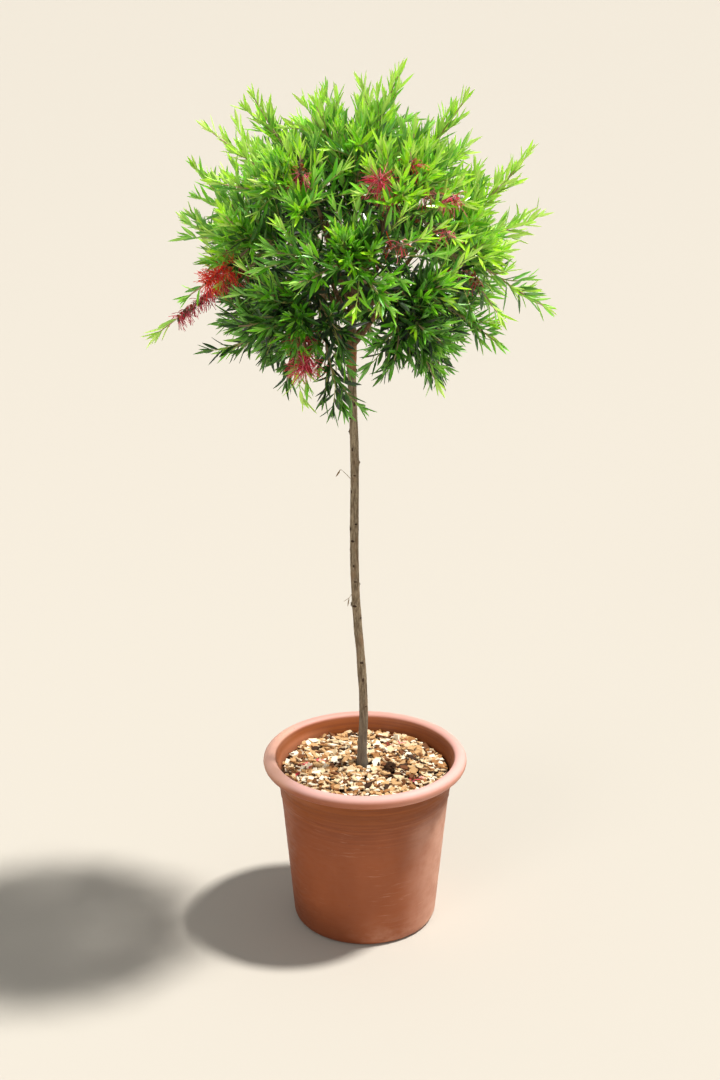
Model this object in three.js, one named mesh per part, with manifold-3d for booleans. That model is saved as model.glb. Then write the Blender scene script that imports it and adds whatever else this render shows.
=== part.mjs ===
// A bottlebrush shrub trained as a lollipop standard, in its round plastic pot, at life size.
// Millimetres, +Z up. The origin is the middle of the pot's flat underside, and the side that the
// plant turns to its viewer is -Y, with +X on the viewer's right.
//
// From the ground up: a tapered pot with a thick rolled rim, its filling of potting mix and bark,
// one slim trunk that leans a little to the left, fourteen boughs that leave the trunk's head, and
// fifteen masses of leafy shoots, one on each bough and one on the tip of the trunk.
import * as THREE from "three";
import { mergeVertices } from "three/addons/utils/BufferGeometryUtils.js";
import Module from "manifold-3d";

const wasm = await Module();
wasm.setup();

// Driving dimensions.
const CLEARANCE = 0.3; // between pieces that touch

const POT_HEIGHT = 246;
const POT_RIM_RADIUS = 140; // outside of the rolled rim
const POT_ROLL_RADIUS = 8.9; // of the rim's round section
const POT_FOOT_RADIUS = 96;
const POT_NECK_RADIUS = 121.5; // of the wall, close under the roll
const POT_WALL = 3.2;
const POT_FLOOR = 4;
const POT_BAND_HEIGHT = 186; // the wall stands a little proud above this
const POT_BAND_STEP = 1.1;
const POT_SIDES = 40;

const FILL_CENTRE = 228; // height of the bark chips at the trunk
const FILL_DISH = 6; // how much lower they lie at the wall

const TRUNK_FOOT_X = -4;
const TRUNK_LEAN = -12; // how far the head stands to the left of the foot
const TRUNK_SWAY = 2.2; // of the slow wave along the trunk
const TRUNK_TIP = 905;
const TRUNK_RADIUS = 5.7;
const TRUNK_FLARE = 2.2; // added at the foot
const TRUNK_HEAD_RADIUS = 7.2; // where the boughs leave it
const TRUNK_HEAD = 815; // height of that swelling
const TRUNK_TIP_RADIUS = 4.4;
const TRUNK_SIDES = 10;
const TRUNK_STEPS = 22;

const CROWN_CENTRE = new THREE.Vector3(-14, 0, 932);
const CROWN_WIDE = 214; // half widths, from the centre to the tips of ordinary shoots
const CROWN_DEEP = 208;
const CROWN_UP = 210;
const CROWN_DOWN = 194;
const CROWN_LOWEST_SHOOT = -56; // elevation of the lowest tips, in degrees

const BOUGH_REACH = 78; // of a bough's tip from the crown's centre
const BOUGH_RADIUS = 3.7;
const BOUGH_TIP_RADIUS = 2.5;
const STEM_RADIUS = 2.5;
const STEM_TIP_RADIUS = 1.3;
const STEM_REACH = 0.78; // of the way to the outline
const TWIG_RADIUS = 1.6;
const TWIG_TIP_RADIUS = 0.7;

const ORDINARY_SHOOTS = 90;
const LEAF_LENGTH = 73;
const LEAF_WIDTH = 22.5;
const LEAF_THICKNESS = 1.6;
const LEAF_SPACING = 16.5;
const LEAFY_FROM = 0.25; // a shoot is bare nearer to its stem
const TIP_LEAF_OUT = 52; // how far the last leaf stands out past its shoot's end
const GOLDEN_ANGLE = Math.PI * (3 - Math.sqrt(5));
const SMALLEST_EDGE = 0.03; // shorter ones, left where pieces are joined, are closed up

// The boughs leave the trunk in tiers. Elevations and azimuths are seen from the crown's centre, in
// degrees, with azimuth 0 to the viewer's right and 270 towards the viewer.
const TIERS = [
  { name: "skirt", count: 5, elevation: -33, first: 234, root: 802, rise: 6 },
  { name: "waist", count: 5, elevation: 4, first: 270, root: 834, rise: 6.5 },
  { name: "shoulder", count: 4, elevation: 43, first: 225, root: 868, rise: 7 },
];
const ROOT_ORDER = [0, 2, 4, 1, 3]; // up the trunk, so that neighbours stay apart
const TOP_ELEVATION = 86;

// The shoots that outgrow the rest, and those that carry a flower spike on the side that shows.
const LEADING_SHOOTS = [
  { azimuth: 335, elevation: 75, reach: 238 },
  { azimuth: 175, elevation: 57, reach: 236 },
  { azimuth: 186, elevation: 41, reach: 243 },
  { azimuth: 215, elevation: 73, reach: 205 },
  { azimuth: 5, elevation: 54, reach: 240 },
  { azimuth: 355, elevation: 30, reach: 254 },
  { azimuth: 4, elevation: 11, reach: 245 },
  { azimuth: 352, elevation: -14, reach: 257 },
  { azimuth: 191, elevation: -20, reach: 276, spike: "spent" },
  { azimuth: 206, elevation: -7, reach: 216, spike: "fresh" },
  { azimuth: 180, elevation: 10, reach: 217 },
  { azimuth: 178, elevation: 27, reach: 218 },
  { azimuth: 199, elevation: -34, reach: 210 },
  { azimuth: 241, elevation: -46, reach: 228, spike: "fresh" },
  { azimuth: 264, elevation: -55, reach: 218 },
  { azimuth: 316, elevation: -45, reach: 206 },
  { azimuth: 345, elevation: -29, reach: 219 },
  { azimuth: 275, elevation: 30, reach: 205, spike: "fresh" },
  { azimuth: 314, elevation: 26, reach: 208, spike: "spent" },
  { azimuth: 298, elevation: 45, reach: 207, spike: "spent" },
  { azimuth: 292, elevation: 10, reach: 200, spike: "spent" },
  { azimuth: 250, elevation: 42, reach: 203, spike: "spent" },
  { azimuth: 335, elevation: -17, reach: 213, spike: "spent" },
  { azimuth: 60, elevation: 35, reach: 212, spike: "fresh" },
  { azimuth: 110, elevation: -12, reach: 222, spike: "fresh" },
  { azimuth: 140, elevation: 30, reach: 226, spike: "spent" },
  { azimuth: 40, elevation: -30, reach: 218, spike: "spent" },
  { azimuth: 85, elevation: 62, reach: 232 },
];
const SPIKES = {
  fresh: { from: 0.3, to: 0.68, radius: 17 },
  spent: { from: 0.25, to: 0.66, radius: 9 },
};
const SPIKE_SIDES = 6;
const SPIKE_STEPS = 4;
const SPIKE_HOLLOW = 0.5; // radius between its bristles, as a share of the radius at their tips

const UP = new THREE.Vector3(0, 0, 1);
const radians = THREE.MathUtils.degToRad;
const { lerp, clamp, smoothstep } = THREE.MathUtils;

// Materials.
const finish = (color, roughness) =>
  new THREE.MeshStandardMaterial({ color, roughness, metalness: 0 });
const TERRACOTTA = finish(0xb9694c, 0.55);
const BARK_CHIPS = finish(0xb08d5e, 0.95);
const TRUNK_BARK = finish(0x8d7c68, 0.9);
const BOUGH_BARK = finish(0x7a5a41, 0.9);
const FOLIAGE = finish(0x4f8f2f, 0.6);

// Even random numbers from 0 to 1, the same on every run.
function randomFrom(seed) {
  let state = seed;
  return () => {
    state = (state * 1664525 + 1013904223) % 4294967296;
    return state / 4294967296;
  };
}

function direction(azimuth, elevation) {
  const a = radians(azimuth);
  const e = radians(elevation);
  return new THREE.Vector3(Math.cos(a) * Math.cos(e), Math.sin(a) * Math.cos(e), Math.sin(e));
}

// A closed geometry as a solid, and a solid as a geometry.
function solidOf(geometry) {
  const bare = geometry.clone();
  bare.deleteAttribute("normal");
  bare.deleteAttribute("uv");
  const merged = mergeVertices(bare, 1e-4);
  return new wasm.Manifold(
    new wasm.Mesh({
      numProp: 3,
      vertProperties: new Float32Array(merged.attributes.position.array),
      triVerts: new Uint32Array(merged.index.array),
    }),
  );
}

function geometryOf(solid) {
  const mesh = solid.getMesh();
  const geometry = new THREE.BufferGeometry();
  geometry.setAttribute("position", new THREE.BufferAttribute(mesh.vertProperties, 3));
  geometry.setIndex(new THREE.BufferAttribute(mesh.triVerts, 1));
  geometry.computeVertexNormals();
  return geometry;
}

function named(name, geometry, material) {
  const mesh = new THREE.Mesh(geometry, material);
  mesh.name = name;
  return mesh;
}

// Two directions across a curve, square to it and to each other.
function across(curve, t) {
  const middle = curve.tangentAt(0.5);
  const reference = Math.abs(middle.x) < 0.8 ? new THREE.Vector3(1, 0, 0) : new THREE.Vector3(0, 1, 0);
  const along = curve.tangentAt(t);
  const side = reference.addScaledVector(along, -along.dot(reference)).normalize();
  const other = new THREE.Vector3().crossVectors(along, side);
  return (angle) =>
    side.clone().multiplyScalar(Math.cos(angle)).addScaledVector(other, Math.sin(angle));
}

// A round limb along a curve: a unit cylinder whose rings are set across the curve, each corner at
// the radius that radiusAt(t, corner) gives.
function limb(curve, radiusAt, sides, steps) {
  const geometry = new THREE.CylinderGeometry(1, 1, 1, sides, steps);
  const points = geometry.attributes.position;
  const turn = (2 * Math.PI) / sides;
  for (let i = 0; i < points.count; i++) {
    const onDisc = new THREE.Vector2(points.getZ(i), points.getX(i));
    const t = points.getY(i) + 0.5;
    const corner = Math.round(onDisc.angle() / turn) % sides;
    const radius = onDisc.length() > 0.5 ? radiusAt(t, corner) : 0;
    const place = curve.pointAt(t).addScaledVector(across(curve, t)(corner * turn), radius);
    points.setXYZ(i, place.x, place.y, place.z);
  }
  return geometry;
}

// A quadratic curve between two ends, drawn towards a third point and cut into straight steps, so
// that whatever stands on it between two rings of its limb stands on the limb's axis.
function bend(from, towards, to, steps) {
  const onCurve = (t) =>
    from
      .clone()
      .multiplyScalar((1 - t) * (1 - t))
      .addScaledVector(towards, 2 * t * (1 - t))
      .addScaledVector(to, t * t);
  return {
    steps,
    length: from.distanceTo(to),
    pointAt: (t) => {
      const step = Math.min(Math.floor(t * steps + 1e-9), steps - 1);
      return onCurve(step / steps).lerp(onCurve((step + 1) / steps), t * steps - step);
    },
    tangentAt: (t) =>
      towards
        .clone()
        .sub(from)
        .multiplyScalar(1 - t)
        .addScaledVector(to.clone().sub(towards), t)
        .normalize(),
  };
}

// Pot: the wall's outline in radius and height, up the outside, over the roll and down the inside.
const POT_ROLL_CENTRE = POT_RIM_RADIUS - POT_ROLL_RADIUS;
const POT_ROLL_HEIGHT = POT_HEIGHT - POT_ROLL_RADIUS;
const potWallAt = (height) =>
  lerp(POT_FOOT_RADIUS + 3, POT_NECK_RADIUS - POT_BAND_STEP, height / POT_ROLL_HEIGHT);

function potOutline() {
  const roll = [];
  for (const degrees of [235, 300, 360, 405, 450, 500, 555]) {
    const a = radians(degrees);
    roll.push(
      new THREE.Vector2(
        POT_ROLL_CENTRE + POT_ROLL_RADIUS * Math.cos(a),
        POT_ROLL_HEIGHT + POT_ROLL_RADIUS * Math.sin(a),
      ),
    );
  }
  const neck = POT_ROLL_HEIGHT - POT_ROLL_RADIUS - 8;
  return [
    new THREE.Vector2(0, 0),
    new THREE.Vector2(POT_FOOT_RADIUS - 4, 0),
    new THREE.Vector2(POT_FOOT_RADIUS, 2),
    new THREE.Vector2(potWallAt(10), 10),
    new THREE.Vector2(potWallAt(POT_BAND_HEIGHT), POT_BAND_HEIGHT),
    new THREE.Vector2(potWallAt(POT_BAND_HEIGHT + 3) + POT_BAND_STEP, POT_BAND_HEIGHT + 3),
    new THREE.Vector2(potWallAt(neck) + POT_BAND_STEP, neck),
    ...roll,
    new THREE.Vector2(potWallAt(neck) - POT_WALL, neck),
    new THREE.Vector2(potWallAt(POT_FLOOR) - POT_WALL, POT_FLOOR),
    new THREE.Vector2(0, POT_FLOOR),
  ];
}

// Filling: potting mix with bark chips on top, flat round the trunk and dished towards the wall.
function fillOutline() {
  const edge = FILL_CENTRE - FILL_DISH;
  const neck = POT_ROLL_HEIGHT - POT_ROLL_RADIUS - 8;
  const inside = (height) => potWallAt(Math.min(height, neck)) - POT_WALL - CLEARANCE * 1.3;
  return [
    new THREE.Vector2(0, POT_FLOOR + CLEARANCE),
    new THREE.Vector2(inside(POT_FLOOR), POT_FLOOR + CLEARANCE),
    new THREE.Vector2(inside(neck), neck),
    new THREE.Vector2(inside(edge), edge),
    new THREE.Vector2(inside(edge) * 0.6, FILL_CENTRE - FILL_DISH * 0.4),
    new THREE.Vector2(22, FILL_CENTRE),
    new THREE.Vector2(0, FILL_CENTRE),
  ];
}

function turned(outline) {
  const geometry = new THREE.LatheGeometry(outline, POT_SIDES);
  geometry.rotateX(Math.PI / 2);
  return geometryOf(solidOf(geometry));
}

// Trunk: from its flat cut on the bark chips to the tip that carries the topmost mass.
const TRUNK_FOOT = FILL_CENTRE + CLEARANCE;
const trunkHeight = (u) => lerp(TRUNK_FOOT, TRUNK_TIP, u);
const trunkCurve = {
  pointAt: (u) => {
    const head = (TRUNK_HEAD - TRUNK_FOOT) / (TRUNK_TIP - TRUNK_FOOT);
    const lean = TRUNK_LEAN * smoothstep(u, 0.1 * head, 0.72 * head);
    const sway = TRUNK_SWAY * Math.sin(u * Math.PI * 4) * smoothstep(u, 0, 0.1);
    return new THREE.Vector3(TRUNK_FOOT_X + lean + sway, -0.6 * sway, trunkHeight(u));
  },
  tangentAt: () => UP.clone(),
};
const trunkAtHeight = (z) => trunkCurve.pointAt((z - TRUNK_FOOT) / (TRUNK_TIP - TRUNK_FOOT));

function trunkRadius(u) {
  const z = trunkHeight(u);
  const flare = TRUNK_FLARE * Math.exp(-(z - TRUNK_FOOT) / 18);
  const taper = lerp(0.35, -0.35, u);
  const swelling = (TRUNK_HEAD_RADIUS - TRUNK_RADIUS) * Math.exp(-(((z - TRUNK_HEAD) / 32) ** 2));
  const narrowing = (TRUNK_TIP_RADIUS - TRUNK_RADIUS) * smoothstep(z, TRUNK_HEAD + 20, TRUNK_TIP);
  return TRUNK_RADIUS + flare + taper + swelling + narrowing;
}

const trunkGeometry = limb(trunkCurve, trunkRadius, TRUNK_SIDES, TRUNK_STEPS);
const trunkWithClearance = solidOf(
  limb(trunkCurve, (u) => trunkRadius(u) + CLEARANCE * 1.1, TRUNK_SIDES, TRUNK_STEPS),
);

// The crown's outline: how far ordinary shoots reach in a direction from its centre.
function outlineReach(towards) {
  const tall = towards.z > 0 ? CROWN_UP : CROWN_DOWN;
  return 1 / Math.hypot(towards.x / CROWN_WIDE, towards.y / CROWN_DEEP, towards.z / tall);
}

// Masses: each has its direction from the crown's centre, and the bough that carries it.
function planMasses() {
  const masses = [];
  for (const tier of TIERS) {
    for (let i = 0; i < tier.count; i++) {
      const towards = direction(tier.first + (360 / tier.count) * i, tier.elevation);
      const root = trunkAtHeight(tier.root + tier.rise * ROOT_ORDER[i]);
      const tip = CROWN_CENTRE.clone().addScaledVector(towards, BOUGH_REACH);
      const towardsTip = root.clone().lerp(tip, 0.5);
      towardsTip.z = lerp(root.z, tip.z, 0.35);
      masses.push({
        name: `${tier.name}_${i + 1}`,
        towards,
        bough: bend(root, towardsTip, tip, 4),
        leaves: tip.clone().sub(towardsTip).normalize(),
        stemFoot: tip,
      });
    }
  }
  masses.push({
    name: "top",
    towards: direction(300, TOP_ELEVATION),
    bough: null,
    leaves: UP,
    stemFoot: trunkCurve.pointAt(1),
  });
  for (const mass of masses) {
    const end = CROWN_CENTRE.clone().addScaledVector(
      mass.towards,
      outlineReach(mass.towards) * STEM_REACH,
    );
    const foot = mass.stemFoot.clone().addScaledVector(mass.leaves, CLEARANCE);
    const towardsEnd = foot.clone().addScaledVector(mass.leaves, 0.4 * foot.distanceTo(end));
    mass.stem = bend(foot, towardsEnd, end, 4);
    mass.shoots = [];
  }
  return masses;
}

// Where each shoot's tip goes: ordinary shoots are spread evenly, and each leading or flowering one
// takes the place of the ordinary one nearest to it.
function planTips() {
  const random = randomFrom(58);
  const lowest = Math.sin(radians(CROWN_LOWEST_SHOOT));
  const tips = Array.from({ length: ORDINARY_SHOOTS }, (_, i) => {
    const rise = lerp(0.985, lowest, (i + 0.5) / ORDINARY_SHOOTS) + 0.03 * (random() - 0.5);
    const around = i * GOLDEN_ANGLE + 0.25 * (random() - 0.5);
    const level = Math.sqrt(1 - rise * rise);
    const towards = new THREE.Vector3(level * Math.cos(around), level * Math.sin(around), rise);
    return { towards, reach: outlineReach(towards) * (0.92 + 0.18 * random()) };
  });
  for (const { azimuth, elevation, reach, spike } of LEADING_SHOOTS) {
    const towards = direction(azimuth, elevation);
    const nearness = (tip) => (tip.leading ? -1 : tip.towards.dot(towards));
    const nearest = tips.reduce((best, tip) => (nearness(tip) > nearness(best) ? tip : best));
    Object.assign(nearest, { towards, reach, spike, leading: true });
  }
  return tips;
}

// A shoot leaves its mass's stem at a share of the stem's length, and turns up towards its end.
function growShoot(mass, tip, start) {
  const from = mass.stem.pointAt(start);
  const to = CROWN_CENTRE.clone().addScaledVector(tip.towards, tip.reach - TIP_LEAF_OUT);
  const length = from.distanceTo(to);
  const towards = from
    .clone()
    .lerp(to, 0.5)
    .addScaledVector(mass.stem.tangentAt(start), 0.12 * length)
    .addScaledVector(UP, -0.1 * length);
  return { curve: bend(from, towards, to, 2), spike: tip.spike };
}

const masses = planMasses();
for (const tip of planTips()) {
  const nearest = masses.reduce((best, mass) =>
    mass.towards.dot(tip.towards) > best.towards.dot(tip.towards) ? mass : best,
  );
  nearest.shoots.push(tip);
}
for (const mass of masses) {
  mass.shoots.sort((a, b) => a.towards.dot(mass.towards) - b.towards.dot(mass.towards));
}

// Whether a point keeps to its mass's own space: nearer to its direction than to any other's, and
// clear of the trunk and of every bough.
const SPACE_MARGIN = 0.35;
const LIMB_MARGIN = 1.2;
const boughRadius = (t) => lerp(BOUGH_RADIUS, BOUGH_TIP_RADIUS, t);
const boughPlaces = masses
  .filter((mass) => mass.bough)
  .flatMap((mass) =>
    Array.from({ length: 19 }, (_, i) => ({
      point: mass.bough.pointAt(i / 18),
      radius: boughRadius(i / 18),
    })),
  );

function inSpace(mass, point) {
  const out = point.clone().sub(CROWN_CENTRE);
  for (const other of masses) {
    if (other === mass) continue;
    const across = mass.towards.clone().sub(other.towards).normalize();
    if (out.dot(across) < SPACE_MARGIN) return false;
  }
  return clearOfLimbs(point);
}

function clearOfLimbs(point) {
  if (point.z < TRUNK_TIP) {
    const axis = trunkAtHeight(point.z);
    if (Math.hypot(point.x - axis.x, point.y - axis.y) < TRUNK_HEAD_RADIUS + LIMB_MARGIN) return false;
  }
  return boughPlaces.every((place) => place.point.distanceTo(point) > place.radius + LIMB_MARGIN);
}

function cornersOf(geometry) {
  const points = geometry.attributes.position;
  return Array.from({ length: points.count }, (_, i) => new THREE.Vector3().fromBufferAttribute(points, i));
}

// A leaf: an octahedron drawn out to a lance shape. Its foot is sunk in the twig, it is thickest
// close to its foot and widest further out.
const LEAF_SUNK = 0.4;
const LEAF_THICKEST = 0.14;
const LEAF_WIDEST = 0.42;

function leaf(foot, along, face, length) {
  const geometry = new THREE.OctahedronGeometry(1, 0);
  const points = geometry.attributes.position;
  const width = new THREE.Vector3().crossVectors(face, along).normalize();
  const thickness = new THREE.Vector3().crossVectors(along, width);
  for (let i = 0; i < points.count; i++) {
    const [x, y, z] = [points.getX(i), points.getY(i), points.getZ(i)];
    let run = x > 0.5 ? length : -LEAF_SUNK;
    if (Math.abs(y) > 0.5) run = LEAF_WIDEST * length;
    if (Math.abs(z) > 0.5) run = LEAF_THICKEST * length;
    const place = foot
      .clone()
      .addScaledVector(along, run)
      .addScaledVector(width, (y * (LEAF_WIDTH * length)) / LEAF_LENGTH / 2)
      .addScaledVector(thickness, (z * LEAF_THICKNESS) / 2);
    points.setXYZ(i, place.x, place.y, place.z);
  }
  return geometry;
}

// Leaves in a spiral along a stretch of a stem or shoot, more upright towards its end, each out of
// one of its three faces. A leaf that isn't free there takes another face, then is made shorter.
const FACE_TURN = (2 * Math.PI) / 3;
const FREEING_LENGTHS = [1, 0.8, 0.6];

function growLeaves(curve, from, to, random, growIfFree) {
  const count = Math.max(1, Math.round(((to - from) * curve.length) / LEAF_SPACING));
  const first = Math.floor(3 * random());
  const tries = FREEING_LENGTHS.flatMap((share) => [0, 1, 2].map((skip) => ({ share, skip })));
  for (let i = 0; i < count; i++) {
    const t = lerp(from, to, (i + 0.5) / count);
    const foot = curve.pointAt(t);
    const slant = radians(lerp(56, 34, t) + 10 * (random() - 0.5));
    const upToTip = (1 - t) * curve.length + TIP_LEAF_OUT;
    const length = Math.min(LEAF_LENGTH * (0.85 + 0.25 * random()), upToTip);
    const leafAt = ({ share, skip }) => {
      const out = across(curve, t)((first + i + skip + 0.5) * FACE_TURN);
      const towards = curve
        .tangentAt(t)
        .multiplyScalar(Math.cos(slant))
        .addScaledVector(out, Math.sin(slant))
        .addScaledVector(UP, 0.08)
        .normalize();
      return leaf(foot, towards, out, length * share);
    };
    tries.some((attempt) => growIfFree(leafAt(attempt), foot));
  }
}

// The last leaf of a shoot carries on from its end, tilted a little or shortened if it isn't free.
const LAST_LEAF_TILTS = [0, 0.35, -0.35];

function growLastLeaf(curve, growIfFree) {
  const foot = curve.pointAt(0.96);
  const along = curve.tangentAt(1);
  const faces = [across(curve, 1)(0.8), across(curve, 1)(0.8 + Math.PI / 2)];
  const tries = [1, 0.7].flatMap((share) =>
    LAST_LEAF_TILTS.flatMap((tilt) => faces.map((face) => ({ share, tilt, face }))),
  );
  tries.some(({ share, tilt, face }) => {
    const towards = along.clone().addScaledVector(face, tilt).normalize();
    return growIfFree(leaf(foot, towards, face, TIP_LEAF_OUT * share), foot);
  });
}

// A flower spike round a shoot: a short cylinder whose corners stand out and in by turns.
function flowerSpike(curve, spike) {
  const part = {
    pointAt: (t) => curve.pointAt(lerp(spike.from, spike.to, t)),
    tangentAt: (t) => curve.tangentAt(lerp(spike.from, spike.to, t)),
  };
  const radiusAt = (t, corner) => {
    const round = 0.55 + 0.45 * Math.sin(Math.PI * t);
    const out = (corner + Math.round(t * SPIKE_STEPS)) % 2 === 0;
    return spike.radius * round * (out ? 1 : SPIKE_HOLLOW);
  };
  return limb(part, radiusAt, SPIKE_SIDES, SPIKE_STEPS);
}

// Whether a piece meets the rest of its mass at its foot and nowhere else.
const FOOT_REACH = 7;

function meetsAtFoot(whole, piece, foot) {
  const common = whole.intersect(piece);
  if (common.isEmpty()) return false;
  const { min, max } = common.boundingBox();
  const near = (corner) => corner.every((at, k) => Math.abs(at - foot.getComponent(k)) < FOOT_REACH);
  return near(min) && near(max);
}

// One mass: its stem, then the twigs and flower spikes that keep to its space, then the leaves that
// also keep clear of each other, all joined as one.
function growMass(mass, number) {
  const random = randomFrom(7001 + 97 * number);
  const taper = (from, to) => (t) => lerp(from, to, t);
  const fits = (geometry) => cornersOf(geometry).every((corner) => inSpace(mass, corner));
  let whole = solidOf(limb(mass.stem, taper(STEM_RADIUS, STEM_TIP_RADIUS), 3, mass.stem.steps));
  const spacing = 0.6 / mass.shoots.length;
  const shoots = mass.shoots.map((tip, i) => growShoot(mass, tip, 0.14 + spacing * (i + 0.5 * random())));
  const grown = shoots.filter(({ curve, spike }) => {
    const twig = limb(curve, taper(TWIG_RADIUS, TWIG_TIP_RADIUS), 3, curve.steps);
    if (!fits(twig)) return false;
    whole = whole.add(solidOf(twig));
    const flowers = spike && flowerSpike(curve, SPIKES[spike]);
    if (flowers && fits(flowers)) whole = whole.add(solidOf(flowers));
    return true;
  });
  const growIfFree = (geometry, foot) => {
    if (!fits(geometry)) return false;
    const piece = solidOf(geometry);
    if (!meetsAtFoot(whole, piece, foot)) return false;
    whole = whole.add(piece);
    return true;
  };
  for (const { curve, spike } of grown) {
    growLastLeaf(curve, growIfFree);
    growLeaves(curve, spike ? SPIKES[spike].to + 0.03 : LEAFY_FROM, 0.95, random, growIfFree);
    if (spike) growLeaves(curve, 0.1, SPIKES[spike].from - 0.03, random, growIfFree);
  }
  growLastLeaf(mass.stem, growIfFree);
  growLeaves(mass.stem, 0.3, 0.95, random, growIfFree);
  const bodies = whole.simplify(SMALLEST_EDGE).decompose();
  return geometryOf(bodies.reduce((best, body) => (body.volume() > best.volume() ? body : best)));
}

const plant = new THREE.Group();
plant.name = "potted_bottlebrush_standard";
plant.add(named("pot", turned(potOutline()), TERRACOTTA));
plant.add(named("pot_filling", turned(fillOutline()), BARK_CHIPS));
plant.add(named("trunk", trunkGeometry, TRUNK_BARK));
masses.forEach((mass, number) => {
  if (mass.bough) {
    const cut = solidOf(limb(mass.bough, boughRadius, 5, mass.bough.steps)).subtract(trunkWithClearance);
    plant.add(named(`bough_${mass.name}`, geometryOf(cut), BOUGH_BARK));
  }
  plant.add(named(`foliage_${mass.name}`, growMass(mass, number), FOLIAGE));
});

export default plant;
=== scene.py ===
import math

import bmesh
import bpy
import numpy as np
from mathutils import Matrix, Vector, noise


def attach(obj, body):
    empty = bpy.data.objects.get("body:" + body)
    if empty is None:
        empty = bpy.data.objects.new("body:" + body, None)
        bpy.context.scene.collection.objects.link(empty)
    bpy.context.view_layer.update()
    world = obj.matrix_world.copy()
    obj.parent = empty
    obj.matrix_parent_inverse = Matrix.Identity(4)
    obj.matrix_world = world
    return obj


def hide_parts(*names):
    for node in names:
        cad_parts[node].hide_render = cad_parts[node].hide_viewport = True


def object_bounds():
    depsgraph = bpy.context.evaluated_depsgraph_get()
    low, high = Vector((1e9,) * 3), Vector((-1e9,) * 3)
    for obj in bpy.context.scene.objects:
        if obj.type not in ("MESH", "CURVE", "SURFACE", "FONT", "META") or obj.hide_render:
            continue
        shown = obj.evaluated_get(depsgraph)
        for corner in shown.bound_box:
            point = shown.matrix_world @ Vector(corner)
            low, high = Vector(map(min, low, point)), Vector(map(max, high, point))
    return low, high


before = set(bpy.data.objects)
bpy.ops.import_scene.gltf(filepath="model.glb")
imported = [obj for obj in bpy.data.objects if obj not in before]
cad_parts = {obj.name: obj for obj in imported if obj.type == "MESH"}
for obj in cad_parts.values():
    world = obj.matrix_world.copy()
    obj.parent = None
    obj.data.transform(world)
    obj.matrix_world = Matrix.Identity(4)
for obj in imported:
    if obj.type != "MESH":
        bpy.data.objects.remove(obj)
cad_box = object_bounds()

# Studio: a plain pale floor, one soft high light from the right and a little behind, a weak wide one
# from the viewer's left, and the camera where the photograph was taken from.
CAMERA_PLACE = (-0.0069, -2.094, 1.2795)
CAMERA_DOWN = 19.08  # degrees below level
CAMERA_LENS = 56
KEY_FROM = (0.41, 0.06, 0.91)
KEY_POWER = 4.9
KEY_SOFTNESS = 6  # degrees across
FILL_PLACE = (-4.5, -6.5, 4.2)
FILL_TOWARDS = (0, 0, 0.7)
FILL_POWER = 130
FILL_WIDTH = 3.5
SKY_LOW = (0.88, 0.86, 0.80, 1)
SKY_HIGH = (0.34, 0.335, 0.325, 1)
SKY_TURN = (0.12, 0.42)  # the heights between which the low shade gives way to the high one
FLOOR_SIZE = 90


def linear(red, green, blue):
    """A colour as seen on a screen, from 0 to 255, as the shader's own linear numbers."""
    values = [c / 255 for c in (red, green, blue)]
    return tuple(v / 12.92 if v < 0.0408 else ((v + 0.055) / 1.055) ** 2.4 for v in values)


def put_in_scene(obj):
    bpy.context.scene.collection.objects.link(obj)
    return obj


def lamp_towards(name, kind, place, heading, power, colour):
    lamp = bpy.data.lights.new(name, kind)
    lamp.energy = power
    lamp.color = colour
    obj = put_in_scene(bpy.data.objects.new(name, lamp))
    obj.location = place
    obj.rotation_euler = Vector(heading).to_track_quat("-Z", "Y").to_euler()
    return lamp


camera = put_in_scene(bpy.data.objects.new("camera", bpy.data.cameras.new("camera")))
camera.data.lens = CAMERA_LENS
camera.data.clip_end = 300
camera.location = CAMERA_PLACE
camera.rotation_euler = (math.radians(90 - CAMERA_DOWN), 0, 0)
bpy.context.scene.camera = camera

key = lamp_towards("key_light", "SUN", (2, 0.3, 4), -Vector(KEY_FROM), KEY_POWER, (1.0, 0.97, 0.92))
key.angle = math.radians(KEY_SOFTNESS)
fill_heading = Vector(FILL_TOWARDS) - Vector(FILL_PLACE)
fill = lamp_towards("fill_light", "AREA", FILL_PLACE, fill_heading, FILL_POWER, (1.0, 0.98, 0.95))
fill.shape = "DISK"
fill.size = FILL_WIDTH


def node(tree, kind, inputs=None, **settings):
    """A shader node with its settings, and its inputs set or wired."""
    made = tree.nodes.new("ShaderNode" + kind)
    for key, value in settings.items():
        setattr(made, key, value)
    for key, value in (inputs or {}).items():
        if isinstance(value, bpy.types.NodeSocket):
            tree.links.new(value, made.inputs[key])
        else:
            made.inputs[key].default_value = value
    return made


def share_between(tree, value, low, high, least=0.0, most=1.0):
    """The least share at the low value and the most at the high one, with a smooth turn between."""
    inputs = {"Value": value, "From Min": low, "From Max": high, "To Min": least, "To Max": most}
    return node(tree, "MapRange", inputs, interpolation_type="SMOOTHSTEP").outputs["Result"]


def mixed(tree, share, first, second):
    return node(tree, "Mix", {0: share, 6: first, 7: second}, data_type="RGBA").outputs[2]


world = bpy.data.worlds.new("studio")
world.use_nodes = True
sky = world.node_tree
upward = node(sky, "SeparateXYZ", {"Vector": node(sky, "TexCoord").outputs["Generated"]}).outputs["Z"]
sky_colour = mixed(sky, share_between(sky, upward, *SKY_TURN), SKY_LOW, SKY_HIGH)
sky.links.new(sky_colour, sky.nodes["Background"].inputs["Color"])
bpy.context.scene.world = world
bpy.context.scene.view_settings.view_transform = "Standard"


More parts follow.
